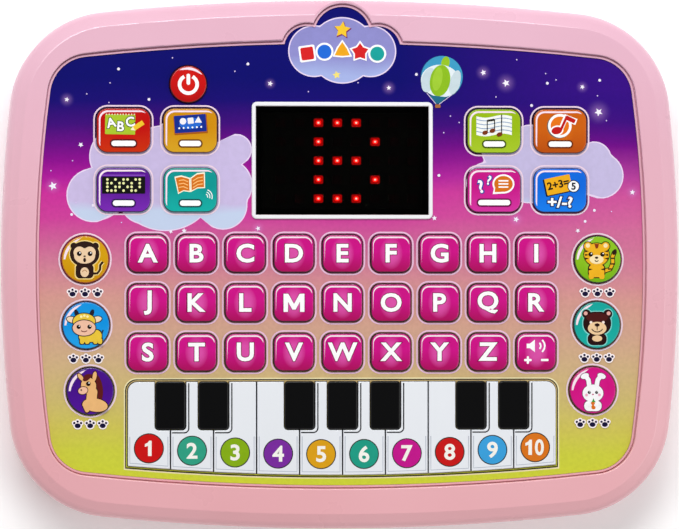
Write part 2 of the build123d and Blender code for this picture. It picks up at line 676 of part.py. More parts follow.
# Speaker, facing down onto its grille.
with BuildPart() as speaker:
    with BuildSketch(Plane.XZ.offset(-SPEAKER_SPOT[1])):
        with BuildLine():
            Polyline(*[(SPEAKER_SPOT[0] + r, z) for r, z in SPEAKER_PROFILE], close=True)
        make_face()
    revolve(axis=Axis((*SPEAKER_SPOT, 0), (0, 0, 1)))
save(speaker.part, "speaker")

# Three cells; the middle one lies the other way round.
cell_rows = [(row, BAY_Y + row * CELL_PITCH) for row in (-1, 0, 1)]
plate_face_x = BAY_LONG / 2 - PLATE_GAP - PLATE_THICK
with BuildPart() as batteries:
    for row, y in cell_rows:
        way = 1 if row else -1
        nub_end = way * (plate_face_x - CELL_END_GAP)
        body_end = nub_end - way * CELL_NUB_HIGH
        with BuildSketch(Plane.YZ.offset(body_end)):
            with Locations((y, CELL_Z)):
                Circle(CELL_R)
        extrude(amount=-way * (CELL_LONG - CELL_NUB_HIGH))
        with BuildSketch(Plane.YZ.offset(body_end)):
            with Locations((y, CELL_Z)):
                Circle(CELL_NUB_R)
        extrude(amount=way * CELL_NUB_HIGH)
save(batteries.part, "batteries")

# Contact plates: one joins two cells and one serves a single cell, at each end of the bay.
with BuildPart() as battery_plates:
    for side in (-1, 1):
        with BuildSketch(Plane.YZ.offset(side * plate_face_x)):
            with Locations((BAY_Y + side * CELL_PITCH / 2, CELL_Z)):
                Rectangle(PLATE_WIDE + CELL_PITCH, PLATE_HIGH)
            with Locations((BAY_Y - side * CELL_PITCH, CELL_Z)):
                Rectangle(PLATE_WIDE, PLATE_HIGH)
        extrude(amount=side * PLATE_THICK)
save(battery_plates.part, "battery_plates")

# Coil springs between the plates and the flat ends of the cells.
spring_room = 2 * plate_face_x - CELL_LONG - CELL_END_GAP
spring_long = spring_room - 2 * (SPRING_WIRE_R + CELL_END_GAP)
spring_pitch = spring_long / SPRING_TURNS
with BuildPart() as battery_springs:
    for row, y in cell_rows:
        way = 1 if row else -1
        start_x = -way * (plate_face_x - SPRING_WIRE_R - CELL_END_GAP)
        start = (start_x, y, CELL_Z)
        with BuildLine():
            coil = Helix(spring_pitch, spring_long, SPRING_R, center=start, direction=(way, 0, 0))
        with BuildSketch(Plane(coil @ 0, z_dir=coil % 0)):
            Circle(SPRING_WIRE_R)
        sweep(path=coil, is_frenet=True)
save(battery_springs.part, "battery_springs")

# Battery door: plate, screw boss and two hinge knuckles with snap-in pins.
with BuildPart() as battery_door:
    with BuildSketch(Plane.XY.offset(DOOR_UNDER)):
        with Locations((0, door_middle_y)):
            RectangleRounded(2 * DOOR_HALF_X, door_length, DOOR_CORNER_R)
    extrude(amount=DOOR_TOP - DOOR_UNDER)
    with BuildSketch(Plane.XY.offset(DOOR_TOP)):
        with Locations((0, DOOR_SCREW_Y)):
            Circle(DOOR_BOSS_R)
    extrude(amount=DOOR_BOSS_TOP - DOOR_TOP)
    with BuildSketch(Plane.XY.offset(DOOR_UNDER)):
        with Locations((0, DOOR_SCREW_Y)):
            Circle(DOOR_SCREW_SINK_R)
    extrude(amount=DOOR_SCREW_HEAD_TOP - DOOR_UNDER, mode=Mode.SUBTRACT)
    with BuildSketch(Plane.XY.offset(DOOR_UNDER)):
        with Locations((0, DOOR_SCREW_Y)):
            Circle(PILOT_R)
    extrude(amount=DOOR_BOSS_TOP - DOOR_UNDER, mode=Mode.SUBTRACT)
    knuckle_low = HINGE_Z - KNUCKLE_R
    knuckle_reach = DOOR_LOW_Y + DOOR_CORNER_R - HINGE_Y
    for side in (-1, 1):
        with BuildSketch(Plane.YZ.offset(side * HINGE_X)):
            with Locations((HINGE_Y, HINGE_Z)):
                Circle(KNUCKLE_R)
            with Locations((HINGE_Y, knuckle_low)):
                Rectangle(knuckle_reach, DOOR_TOP - knuckle_low, align=(Align.MIN, Align.MIN))
        extrude(amount=KNUCKLE_WIDE / 2, both=True)
        with BuildSketch(Plane.YZ.offset(side * HINGE_X)):
            with Locations((HINGE_Y, HINGE_Z)):
                Circle(HINGE_PIN_R)
        extrude(amount=KNUCKLE_WIDE / 2 + HINGE_PIN_LONG, both=True)
save(battery_door.part, "battery_door")

# The door's captive screw, and the six screws that hold the two halves of the case together.
short_screw = screw_body(DOOR_SCREW_HEAD_LOW, DOOR_SCREW_HEAD_TOP, DOOR_SCREW_TIP)
with BuildPart() as door_screw:
    with Locations((0, DOOR_SCREW_Y)):
        add(short_screw)
save(door_screw.part, "door_screw")

long_screw = screw_body(SCREW_HEAD_LOW, SCREW_SEAT, SCREW_TIP)
with BuildPart() as case_screws:
    with Locations(*SCREW_SPOTS):
        add(long_screw)
save(case_screws.part, "case_screws")

# Four rubber feet, glued in their recesses.
with BuildPart() as rubber_feet:
    with BuildSketch():
        with Locations(*FOOT_SPOTS):
            Circle(FOOT_R)
    extrude(amount=FOOT_TOP)
    fillet(rubber_feet.edges().group_by(Axis.Z)[0], FOOT_ROUND)
save(rubber_feet.part, "rubber_feet")

# Twin leads from the speaker and from the battery bay to their sockets on the board.
with BuildPart() as wiring:
    for route in (SPEAKER_LEAD, BATTERY_LEAD):
        for shift in (-LEAD_PITCH / 2, LEAD_PITCH / 2):
            points = [(x, y + shift, z) for x, y, z in route]
            with BuildLine():
                lead_path = FilletPolyline(*points, radius=LEAD_BEND_R)
            with BuildSketch(Plane(lead_path @ 0, z_dir=lead_path % 0)):
                Circle(LEAD_R)
            sweep(path=lead_path)
save(wiring.part, "wiring")
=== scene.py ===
from math import cos, hypot, pi, radians, sin

import bmesh
import bpy
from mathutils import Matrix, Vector
from mathutils.geometry import tessellate_polygon


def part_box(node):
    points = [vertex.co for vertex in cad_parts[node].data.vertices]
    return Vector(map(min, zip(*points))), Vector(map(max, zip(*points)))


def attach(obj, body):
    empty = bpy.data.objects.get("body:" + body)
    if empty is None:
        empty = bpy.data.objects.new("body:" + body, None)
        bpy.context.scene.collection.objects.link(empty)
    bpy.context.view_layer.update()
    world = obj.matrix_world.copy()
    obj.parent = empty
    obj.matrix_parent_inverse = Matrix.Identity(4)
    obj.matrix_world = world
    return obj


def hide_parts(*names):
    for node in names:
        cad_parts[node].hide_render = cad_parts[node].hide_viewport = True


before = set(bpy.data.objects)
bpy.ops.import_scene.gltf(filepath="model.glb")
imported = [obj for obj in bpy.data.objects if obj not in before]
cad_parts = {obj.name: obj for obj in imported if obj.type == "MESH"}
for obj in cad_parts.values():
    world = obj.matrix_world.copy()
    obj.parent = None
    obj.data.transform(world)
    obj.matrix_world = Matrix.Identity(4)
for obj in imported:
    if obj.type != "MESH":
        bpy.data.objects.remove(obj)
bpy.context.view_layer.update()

# Artwork is drawn in millimetres and scaled once, when its mesh is made.
MM = 0.001
FLANGE_OUT = 0.7
KEY_ROUND = 0.6
KEY_CROWN = 0.05
KEY_CORNER = {"letter": 3.4, "function": 4.0, "picture": 8.4, "power": 6.6}
INK = 0.012
SLIVER = 0.15
FACE_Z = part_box("display_frame")[0].z / MM
KEY_TOP_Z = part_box("key_a")[1].z / MM
KEY_Z = KEY_TOP_Z + KEY_CROWN
CURVE_STEPS = 8
FLANGE_THICK = 1.1
SHOULDER_STEPS = 6
# Prints that overlap a cloud start above both of its layers.
OVER_CLOUD_Z = FACE_Z + 7 * INK
STAR_Z = FACE_Z + 9 * INK


# ---- colours and materials ----

WHITE = "FFFFFF"


def rgb(code):
    """A colour written as six hex digits of sRGB, as linear red, green, blue and alpha."""
    parts = [int(code[i:i + 2], 16) / 255 for i in (0, 2, 4)]
    linear = [c / 12.92 if c <= 0.04045 else ((c + 0.055) / 1.055) ** 2.4 for c in parts]
    return (*linear, 1.0)


def shaded(code, factor):
    """The same colour made darker or lighter by a factor."""
    return (*[min(1.0, c * factor) for c in rgb(code)[:3]], 1.0)


class Nodes:
    """Short calls for wiring a material's nodes."""

    def __init__(self, name):
        self.material = bpy.data.materials.new(name)
        self.material.use_nodes = True
        self.tree = self.material.node_tree
        self.shader = self.tree.nodes["Principled BSDF"]

    def add(self, kind, inputs=(), **settings):
        node = self.tree.nodes.new(kind)
        for key, value in settings.items():
            setattr(node, key, value)
        for key, value in dict(inputs).items():
            self.feed(node.inputs[key], value)
        return node

    def feed(self, socket, value):
        if isinstance(value, bpy.types.NodeSocket):
            self.tree.links.new(value, socket)
        else:
            socket.default_value = value

    def where(self):
        return self.add("ShaderNodeTexCoord").outputs["Object"]

    def axis(self, name):
        return self.add("ShaderNodeSeparateXYZ", {0: self.where()}).outputs[name]

    def noise(self, scale, detail=3.0):
        inputs = {"Vector": self.where(), "Scale": scale, "Detail": detail}
        return self.add("ShaderNodeTexNoise", inputs).outputs["Fac"]

    def math(self, operation, a, b=0.0):
        return self.add("ShaderNodeMath", {0: a, 1: b}, operation=operation).outputs[0]

    def span(self, value, low, high, to_low=0.0, to_high=1.0):
        inputs = {0: value, 1: low, 2: high, 3: to_low, 4: to_high}
        return self.add("ShaderNodeMapRange", inputs).outputs[0]

    def ramp(self, value, stops):
        node = self.add("ShaderNodeValToRGB", {0: value})
        points = node.color_ramp.elements
        while len(points) < len(stops):
            points.new(1.0)
        for point, (place, colour) in zip(points, stops):
            point.position = place
            point.color = rgb(colour)
        return node.outputs[0]

    def mix(self, factor, a, b, blend="MIX"):
        node = self.add("ShaderNodeMix", data_type="RGBA", blend_type=blend)
        self.feed(node.inputs[0], factor)
        self.feed(node.inputs[6], a)
        self.feed(node.inputs[7], b)
        return node.outputs[2]

    def bump(self, height, strength, distance):
        inputs = {"Height": height, "Strength": strength, "Distance": distance}
        self.feed(self.shader.inputs["Normal"], self.add("ShaderNodeBump", inputs).outputs[0])

    def surface(self, colour, rough=0.35, metal=0.0, coat=0.0, coat_rough=0.05, specular=0.5):
        values = {
            "Base Color": colour, "Roughness": rough, "Metallic": metal, "Coat Weight": coat,
            "Coat Roughness": coat_rough, "Specular IOR Level": specular,
        }
        for key, value in values.items():
            self.feed(self.shader.inputs[key], value)
        return self.material


def moulded(name, colour, rough=0.35, coat=0.0, drift=0.06, grain=2200.0, depth=0.25):
    """Moulded plastic or rubber: a slow drift of tone, uneven gloss and a fine surface grain."""
    n = Nodes(name)
    tone = n.span(n.noise(14.0), 0.3, 0.7)
    gloss = n.span(n.noise(90.0, 4.0), 0.3, 0.7, rough * 0.85, rough * 1.15)
    n.bump(n.noise(grain, 2.0), depth, 0.00004)
    return n.surface(n.mix(tone, shaded(colour, 1 - drift), shaded(colour, 1 + drift)), gloss, coat=coat)


def ink(name, colour):
    """A printed colour: nearly even, with the slight mottling of screen print."""
    n = Nodes(name)
    tone = n.span(n.noise(420.0, 2.0), 0.35, 0.65)
    tone = n.mix(tone, shaded(colour, 0.95), rgb(colour))
    return n.surface(tone, 0.3, coat=0.15, coat_rough=0.08, specular=0.3)


def cell_jacket():
    """A dry cell: a printed sleeve with a pale band, between bare metal ends."""
    n = Nodes("cell_jacket")
    along = n.math("ABSOLUTE", n.axis("X"))
    bare = n.span(along, 0.0214, 0.0215)
    stripe = n.math("MULTIPLY", n.span(along, 0.0158, 0.0159), n.span(along, 0.0172, 0.0171))
    sleeve = n.mix(n.span(n.noise(60.0), 0.3, 0.7), rgb("16653A"), rgb("1C7444"))
    tone = n.mix(bare, n.mix(stripe, sleeve, rgb("E6C24A")), rgb("C9CBCE"))
    n.bump(n.noise(800.0, 2.0), 0.08, 0.00003)
    return n.surface(tone, 0.3, metal=bare, coat=0.2)


def metal(name, colour, rough=0.25, grain=600.0):
    """Plated metal with fine drawn variation in its gloss."""
    n = Nodes(name)
    gloss = n.span(n.noise(grain, 4.0), 0.3, 0.7, rough * 0.7, rough * 1.3)
    tone = n.mix(n.noise(60.0), rgb(colour), shaded(colour, 0.82))
    n.bump(n.noise(grain * 3, 2.0), 0.15, 0.00002)
    return n.surface(tone, gloss, metal=1.0)


inks = {}


def paint(colour):
    """The ink of that colour, made once."""
    if colour not in inks:
        inks[colour] = ink("ink_" + colour, colour)
    return inks[colour]


# ---- outlines, as lists of points in millimetres ----

def placed(u, v, x, y, turn):
    """The point u, v turned by turn degrees about the origin and then moved by x, y."""
    t = radians(turn)
    return x + u * cos(t) - v * sin(t), y + u * sin(t) + v * cos(t)


def ellipse(x, y, rx, ry=None, turn=0.0, start=0.0, end=360.0):
    """Points round an ellipse or part of one, turned by turn degrees."""
    ry = rx if ry is None else ry
    whole = abs(end - start) >= 360
    count = max(10, int(CURVE_STEPS * 1.5 * (max(rx, ry) ** 0.5 + 1)))
    points = []
    for i in range(count if whole else count + 1):
        a = radians(start + (end - start) * i / count)
        points.append(placed(rx * cos(a), ry * sin(a), x, y, turn))
    return points


def rounded(width, height, corner, x=0.0, y=0.0, turn=0.0):
    """Points round a rectangle with rounded corners."""
    points = []
    corner = min(corner, width / 2, height / 2)
    for quarter, (sx, sy) in enumerate(((1, 1), (-1, 1), (-1, -1), (1, -1))):
        cx = sx * (width / 2 - corner)
        cy = sy * (height / 2 - corner)
        for i in range(CURVE_STEPS + 1):
            a = radians(90 * quarter + 90 * i / CURVE_STEPS)
            points.append(placed(cx + corner * cos(a), cy + corner * sin(a), x, y, turn))
    return points


def star(x, y, size, tips=5, waist=0.42, turn=90.0):
    """Points of a star."""
    points = []
    for i in range(2 * tips):
        r = size if i % 2 == 0 else size * waist
        a = radians(turn + 180 * i / tips)
        points.append((x + r * cos(a), y + r * sin(a)))
    return points


def lobes(x, y, circles, grow=0.0, count=160):
    """Points round a cloud made of overlapping circles, as seen from x, y inside it."""
    points = []
    for i in range(count):
        dx, dy = cos(2 * pi * i / count), sin(2 * pi * i / count)
        reach = 0.0
        for cx, cy, r in circles:
            along = (cx - x) * dx + (cy - y) * dy
            aside = (cx - x) * dy - (cy - y) * dx
            r += grow
            if abs(aside) < r:
                reach = max(reach, along + (r * r - aside * aside) ** 0.5)
        points.append((x + reach * dx, y + reach * dy))
    return points


def band(points, width, closed=False):
    """A line of that width along the points, with square ends."""
    left, right = [], []
    count = len(points)
    for i, (x, y) in enumerate(points):
        ax, ay = points[i - 1] if i or closed else points[i]
        bx, by = points[(i + 1) % count] if i + 1 < count or closed else points[i]
        size = hypot(bx - ax, by - ay) or 1.0
        nx, ny = -(by - ay) / size * width / 2, (bx - ax) / size * width / 2
        left.append((x + nx, y + ny))
        right.append((x - nx, y - ny))
    return [left, right] if closed else [left + right[::-1]]


# ---- meshes ----

def link(thing):
    """Puts a new object into the scene."""
    bpy.context.scene.collection.objects.link(thing)


class Art:
    """Flat printed shapes gathered into one piece: thin closed plates, each a little above the last."""

    def __init__(self, name, base_z):
        self.name = name
        self.base_z = base_z
        self.mesh = bmesh.new()
        self.materials = []
        self.level = 0

    def slot_of(self, colour):
        """The number of the material slot for a colour written in hex, or for a material."""
        material = paint(colour) if isinstance(colour, str) else colour
        if material not in self.materials:
            self.materials.append(material)
        return self.materials.index(material)

    def shape(self, rings, colour, step=True):
        """A filled outline, or an outline with holes, in one colour.

        It lies a full layer above the last one, with step False a sliver above, and with None level."""
        rings = rings if isinstance(rings[0], list) else [rings]
        self.level += {True: 1.0, False: SLIVER, None: 0.0}[step]
        low = self.base_z - INK
        high = self.base_z + self.level * INK
        slot = self.slot_of(colour)
        flat = [point for ring in rings for point in ring]
        lows = [self.mesh.verts.new((x, y, low)) for x, y in flat]
        highs = [self.mesh.verts.new((x, y, high)) for x, y in flat]
        faces = []
        for a, b, c in tessellate_polygon([[Vector((x, y, 0)) for x, y in ring] for ring in rings]):
            if len({a, b, c}) == 3:
                faces.append((highs[a], highs[b], highs[c]))
                faces.append((lows[c], lows[b], lows[a]))
        start = 0
        for ring in rings:
            for i in range(len(ring)):
                a = start + i
                b = start + (i + 1) % len(ring)
                faces.append((lows[a], lows[b], highs[b], highs[a]))
            start += len(ring)
        made = []
        for face in faces:
            new = self.mesh.faces.get(face) or self.mesh.faces.new(face)
            new.material_index = slot
            made.append(new)
        bmesh.ops.recalc_face_normals(self.mesh, faces=made)

    def dots(self, spots, radius, colour):
        """Several discs of one colour at one level."""
        self.level += 1
        for x, y in spots:
            self.shape(ellipse(x, y, radius), colour, None)

    def text(self, words, size, x, y, colour, bold=0.0, turn=0.0, wide=1.0):
        """Lettering centred on x, y, its capitals about 0.7 of size high."""
        self.level += 1
        data = bpy.data.curves.new("lettering", "FONT")
        data.body = words
        data.size = size
        data.align_x = "CENTER"
        data.align_y = "CENTER"
        data.offset = bold
        data.resolution_u = 4
        data.extrude = (self.level + 1) * INK / 2
        holder = bpy.data.objects.new("lettering", data)
        link(holder)
        mesh = bpy.data.meshes.new_from_object(holder.evaluated_get(bpy.context.evaluated_depsgraph_get()))
        bpy.data.objects.remove(holder)
        xs = [v.co.x for v in mesh.vertices]
        ys = [v.co.y for v in mesh.vertices]
        middle = ((min(xs) + max(xs)) / 2, (min(ys) + max(ys)) / 2)
        for v in mesh.vertices:
            spot = placed((v.co.x - middle[0]) * wide, v.co.y - middle[1], x, y, turn)
            v.co = (*spot, self.base_z - INK + v.co.z + data.extrude)
        known = len(self.mesh.faces)
        self.mesh.from_mesh(mesh)
        self.mesh.faces.ensure_lookup_table()
        added = self.mesh.faces[known:]
        slot = self.slot_of(colour)
        for face in added:
            face.material_index = slot
        corners = list({v for face in added for v in face.verts})
        bmesh.ops.remove_doubles(self.mesh, verts=corners, dist=0.0008)
        bpy.data.meshes.remove(mesh)

    def build(self, body, at=(0.0, 0.0)):
        """Makes the piece, with its own origin at the point at on the face."""
        finish_piece(self.mesh, self.name, self.materials, body, at)


def finish_piece(mesh_maker, name, materials, body, at=(0.0, 0.0), smooth=30.0):
    """Turns a bmesh in millimetres into a piece in metres that rides on its body."""
    bmesh.ops.scale(mesh_maker, vec=(MM, MM, MM), verts=mesh_maker.verts)
    mesh = bpy.data.meshes.new(name)
    mesh_maker.to_mesh(mesh)
    mesh_maker.free()
    for material in materials:
        mesh.materials.append(material)
    mesh.shade_smooth()
    mesh.set_sharp_from_angle(angle=radians(smooth))
    piece = bpy.data.objects.new(name, mesh)
    piece.location = (at[0] * MM, at[1] * MM, 0.0)
    link(piece)
    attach(piece, body)
    return piece


def rings_to_mesh(rings):
    """A closed bmesh through rings of equal length, each a list of points in millimetres."""
    made = bmesh.new()
    rows = [[made.verts.new(point) for point in ring] for ring in rings]
    for low, high in zip(rows, rows[1:]):
        for i in range(len(low)):
            j = (i + 1) % len(low)
            made.faces.new((low[i], low[j], high[j], high[i]))
    made.faces.new(rows[0][::-1])
    made.faces.new(rows[-1])
    bmesh.ops.remove_doubles(made, verts=made.verts, dist=0.0005)
    bmesh.ops.recalc_face_normals(made, faces=made.faces)
    return made


def node_middle(node):
    """The middle of a CAD node seen from above, and its width and height, in millimetres."""
    low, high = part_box(node)
    middle = ((low.x + high.x) / 2 / MM, (low.y + high.y) / 2 / MM)
    return middle, (high.x - low.x) / MM, (high.y - low.y) / MM


def key_cap(node, kind, material):
    """A key's cap and flange, rounded at its shoulders and slightly crowned, for its CAD solid."""
    low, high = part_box(node)
    middle, flange_wide, flange_high = node_middle(node)
    width = flange_wide - 2 * FLANGE_OUT
    height = flange_high - 2 * FLANGE_OUT
    corner = KEY_CORNER[kind]
    bottom = low.z / MM
    top = high.z / MM
    flange_top = bottom + FLANGE_THICK
    profile = [(FLANGE_OUT, bottom), (FLANGE_OUT, flange_top), (0.0, flange_top), (0.0, top - KEY_ROUND)]
    for step in range(1, SHOULDER_STEPS + 1):
        a = radians(90 * step / SHOULDER_STEPS)
        profile.append((-KEY_ROUND * (1 - cos(a)), top - KEY_ROUND + KEY_ROUND * sin(a)))
    for share in (0.3, 0.6, 0.85):
        inset = KEY_ROUND + share * (min(width, height) / 2 - KEY_ROUND) * 0.8
        profile.append((-inset, top + KEY_CROWN * sin(share * pi / 2)))
    rings = []
    for grow, z in profile:
        outline = rounded(width + 2 * grow, height + 2 * grow, max(0.3, corner + grow))
        rings.append([(x, y, z) for x, y in outline])
    cap = finish_piece(rings_to_mesh(rings), node + "_cap", [material], node, middle, 50.0)
    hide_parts(node)


# ---- shell, face sheet and other CAD nodes ----

def shell_plastic():
    """Pale pink moulded shell: satin, with a painted tint of light that turns it cooler towards its top, a
    fine orange-peel and a clear gloss.
    """
    n = Nodes("shell_pink")
    tone = n.span(n.noise(9.0), 0.3, 0.7)
    n.bump(n.noise(1500.0, 2.0), 0.12, 0.00004)
    gloss = n.span(n.noise(60.0, 4.0), 0.3, 0.7, 0.26, 0.34)
    # Painted light: the pink turns cooler towards the shell's top, in place of the light that falls there.
    height = n.span(n.axis("Y"), -0.07, 0.08)
    dark = n.mix(height, rgb("E7A8AF"), rgb("DFACBF"))
    light = n.mix(height, rgb("EDB2B9"), rgb("E6B6C9"))
    return n.surface(n.mix(tone, dark, light), gloss, coat=0.3, coat_rough=0.12)


SKY = (
    (-76, "CFD83A"), (-66, "CED042"), (-58, "D0C557"), (-48, "D0BC72"), (-36, "D1B284"), (-24, "D3A68E"),
    (-12, "D69A90"), (0, "D27E98"), (9, "CE5E98"), (16, "CE409A"), (25, "CA309A"), (31, "AE189A"),
    (37, "8C048E"), (43, "6A0184"), (50, "3E0179"), (58, "120070"), (66, "01006A"), (78, "01006C"),
)
SKY_LOW = -78
SKY_HIGH = 80
# Each star: where it is, its size, and how far its glow reaches.
STARS = (
    (-97.2, 58.0, 0.9, 3.0), (-92.3, 42.1, 1.0, 0.0), (-102.1, 27.6, 1.6, 3.6), (-25.5, 63.8, 1.0, 2.4),
    (-60.6, 11.6, 0.8, 0.0), (-55.9, 11.9, 1.0, 0.0), (-29.8, 12.7, 0.9, 3.0), (50.1, 67.9, 1.1, 3.2),
    (58.2, 64.2, 1.4, 4.2), (85.4, 62.9, 0.9, 2.6), (91.2, 54.0, 1.5, 5.0), (32.7, 16.4, 1.0, 0.0),
    (61.8, 16.0, 1.1, 3.4), (103.3, 25.6, 1.0, 3.0), (83.8, 12.0, 0.9, 0.0), (16.5, 62.4, 0.9, 3.0),
)


def face_print():
    """The face sheet's sky: yellow-green at the bottom, through pink and purple, to navy at the top.

    The black piano keys stand up out of it, so everything above the sheet is gloss black."""
    n = Nodes("face_print")
    x = n.axis("X")
    y = n.axis("Y")
    wobble = n.span(n.noise(16.0, 3.0), 0.0, 1.0, -0.02, 0.02)
    height = n.math("ADD", n.span(y, SKY_LOW * MM, SKY_HIGH * MM), wobble)
    sky = n.ramp(height, [((level - SKY_LOW) / (SKY_HIGH - SKY_LOW), colour) for level, colour in SKY])
    rightwards = n.span(x, 0.02, 0.105)
    near_middle = n.span(n.math("ABSOLUTE", n.math("SUBTRACT", y, 0.012)), 0.03, 0.0)
    sky = n.mix(n.math("MULTIPLY", n.math("MULTIPLY", rightwards, near_middle), 0.4), sky, rgb("D8909C"))
    near_top = n.span(y, 0.04, 0.062)
    sky = n.mix(n.math("MULTIPLY", n.math("MULTIPLY", rightwards, near_top), 0.85), sky, rgb("3C0488"))
    for star_x, star_y, size, reach in STARS:
        if reach:
            spot = (star_x * MM, star_y * MM, FACE_Z * MM)
            away = n.add("ShaderNodeVectorMath", {0: n.where(), 1: spot}, operation="DISTANCE")
            glow = n.math("POWER", n.span(away.outputs["Value"], 0.0, reach * MM, 0.62, 0.0), 2.0)
            sky = n.mix(glow, sky, rgb("DDA4EE"))
    mottle = n.span(n.noise(700.0, 2.0), 0.35, 0.65, 0.94, 1.0)
    grey = n.add("ShaderNodeCombineColor", {0: mottle, 1: mottle, 2: mottle}).outputs[0]
    tint = n.mix(1.0, sky, grey, "MULTIPLY")
    raised = n.span(n.axis("Z"), (FACE_Z + 0.02) * MM, (FACE_Z + 0.06) * MM)
    n.bump(n.noise(900.0, 2.0), 0.06, 0.00003)
    return n.surface(n.mix(raised, tint, rgb("020203")), 0.3, coat=0.1, coat_rough=0.06, specular=0.25)


def smoked_acrylic():
    """Dark window that lets the lamps' glow through."""
    n = Nodes("smoked_window")
    tone = n.mix(n.noise(30.0), rgb("7A6A6C"), rgb("847072"))
    n.feed(n.shader.inputs["Transmission Weight"], 1.0)
    n.feed(n.shader.inputs["IOR"], 1.2)
    n.bump(n.noise(500.0, 2.0), 0.03, 0.00002)
    return n.surface(tone, 0.05, specular=0.3)


shell = shell_plastic()
white_gloss = moulded("white_gloss", "F2F2F5", 0.25, 0.3, 0.03)
foot_rubber = moulded("foot_rubber", "8C9098", 0.75, 0.0, 0.08, 900.0, 0.5)
dome_rubber = moulded("dome_rubber", "55565A", 0.7)
board_green = moulded("board_green", "0E3A20", 0.35, 0.3)
black_body = moulded("black_body", "0B0B0C", 0.5)
lead_red = moulded("lead_red", "B01818", 0.5)
steel = metal("steel", "B8BABE")
nickel = metal("nickel", "D8D6D0", 0.2)
lamp_off = moulded("lamp_off", "3A0A0A", 0.3)
key_white = moulded("piano_white", "E9ECF1", 0.22, 0.3, 0.02)
CARRIED = {
    "front_shell": shell, "rear_shell": shell, "battery_door": shell, "graphic_overlay": face_print(),
    "display_window": smoked_acrylic(), "display_frame": white_gloss, "switch_mat": dome_rubber,
    "circuit_board": board_green, "led_matrix": lamp_off, "wiring": lead_red, "speaker": black_body,
    "batteries": cell_jacket(), "battery_springs": nickel, "battery_plates": nickel, "case_screws": steel,
    "door_screw": steel, "rubber_feet": foot_rubber, "piano_keys": key_white,
}
for node, material in CARRIED.items():
    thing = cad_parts[node]
    thing.data.materials.clear()
    thing.data.materials.append(material)


# ---- keys: caps, gleams and legends ----

class Key:
    """What one key looks like: its kind, its colours and the drawing on it."""

    # After the key's own colour, low is painted light at its lower edge (painted shade where darker, painted
    # reflection where lighter), glow is a painted highlight behind its legend, and edge is painted shade at
    # its foot.
    def __init__(self, node, kind, colour, low, glow, edge, draw):
        self.node = node
        self.kind = kind
        self.colours = (colour, low, glow, edge)
        self.draw = draw


def cap_gloss(name, colours, half_high):
    """A glossy key with painted light: its colour turns to low towards its lower edge, a painted shade where
    low is darker and a painted reflection where it is lighter; a painted highlight glows behind its legend,
    and a painted shade darkens its foot.
    """
    colour, low, glow, edge = [rgb(code) for code in colours]
    n = Nodes(name)
    x = n.axis("X")
    y = n.axis("Y")
    # Painted light: towards the lower edge the colour turns to low, a painted shade where low is darker and
    # a painted reflection where it is lighter.
    tone = n.mix(n.span(y, -half_high, half_high * 0.1), low, colour)
    # Painted highlight: a lens of the glow colour behind the legend.
    across = n.math("POWER", n.math("ABSOLUTE", n.math("DIVIDE", x, half_high * 0.62)), 2.0)
    along = n.math("POWER", n.math("ABSOLUTE", n.math("DIVIDE", y, half_high * 0.86)), 2.0)
    lens = n.span(n.math("ADD", across, along), 0.15, 1.0, 0.75, 0.0)
    tone = n.mix(lens, tone, glow)
    tone = n.mix(n.span(n.noise(300.0), 0.3, 0.7, 0.0, 0.12), tone, low)
    # Painted shade: below the top, the foot takes the edge colour, standing in for the shade in the gap
    # round the key.
    foot = n.span(n.axis("Z"), (KEY_TOP_Z - 0.1) * MM, (KEY_TOP_Z - 0.04) * MM)
    n.bump(n.noise(700.0, 2.0), 0.05, 0.00003)
    return n.surface(n.mix(foot, edge, tone), 0.24, coat=0.25, coat_rough=0.07, specular=0.35)


def gleam(width, height, corner, inset, thick, start, end):
    """A painted highlight: a crescent along a rounded outline, thickest half way, from one share of the way
    round to another.
    """
    deep = inset + thick
    outer = rounded(width - 2 * inset, height - 2 * inset, corner - inset)
    inner = rounded(width - 2 * deep, height - 2 * deep, max(0.2, corner - deep))
    count = len(outer)
    first, last = int(start * count), int(end * count)
    far, near = [], []
    for i in range(first, last + 1):
        share = sin(pi * (i - first) / (last - first)) ** 0.5
        (ox, oy), (ix, iy) = outer[i % count], inner[i % count]
        far.append((ox, oy))
        near.append((ox + (ix - ox) * share, oy + (iy - oy) * share))
    return far + near[-2:0:-1]


# Painted highlights on each kind of key: inset, thickness, and the shares of the way round where the
# crescent starts and ends.
GLEAMS = {
    "letter": (0.75, 0.55, 0.0, 0.5), "function": (0.9, 0.7, 0.12, 0.6),
    "picture": (0.8, 1.0, 0.3, 0.52), "power": (0.7, 0.9, 0.1, 0.36),
}


def outlined(art, words, size, x, y, line, bold, rim, turn=0.0, wide=1.0):
    """White lettering with a rim of another colour."""
    art.text(words, size, x, y, line, bold + rim, turn, wide)
    art.text(words, size, x, y, WHITE, bold, turn, wide)


def bar_label(art, width, y, line):
    """A plain rounded bar that stands for a word."""
    art.shape(rounded(width + 1.0, 2.9, 1.4, 0.0, y), line)
    art.shape(rounded(width, 1.9, 0.95, 0.0, y), WHITE)


LETTER_SIZE = 8.8
LETTER_EDGE = "7A0843"
LETTER_M = [
    (-3.7, -3.2), (-3.7, 3.2), (-2.0, 3.2), (0.0, -0.4), (2.0, 3.2), (3.7, 3.2), (3.7, -3.2), (2.1, -3.2),
    (2.1, 0.4), (0.6, -2.4), (-0.6, -2.4), (-2.1, 0.4), (-2.1, -3.2),
]


def draw_m(art):
    """The font's own M folds over itself when it is made bold, so this one is drawn."""
    art.shape(band(LETTER_M, 0.5, True), LETTER_EDGE)
    art.shape(LETTER_M, WHITE)


def draw_letter(letter):
    """The drawing of one letter key."""
    def draw(art):
        outlined(art, letter, LETTER_SIZE, 0.0, 0.1, LETTER_EDGE, 0.26, 0.24, 0.0, 1.06)
    return draw


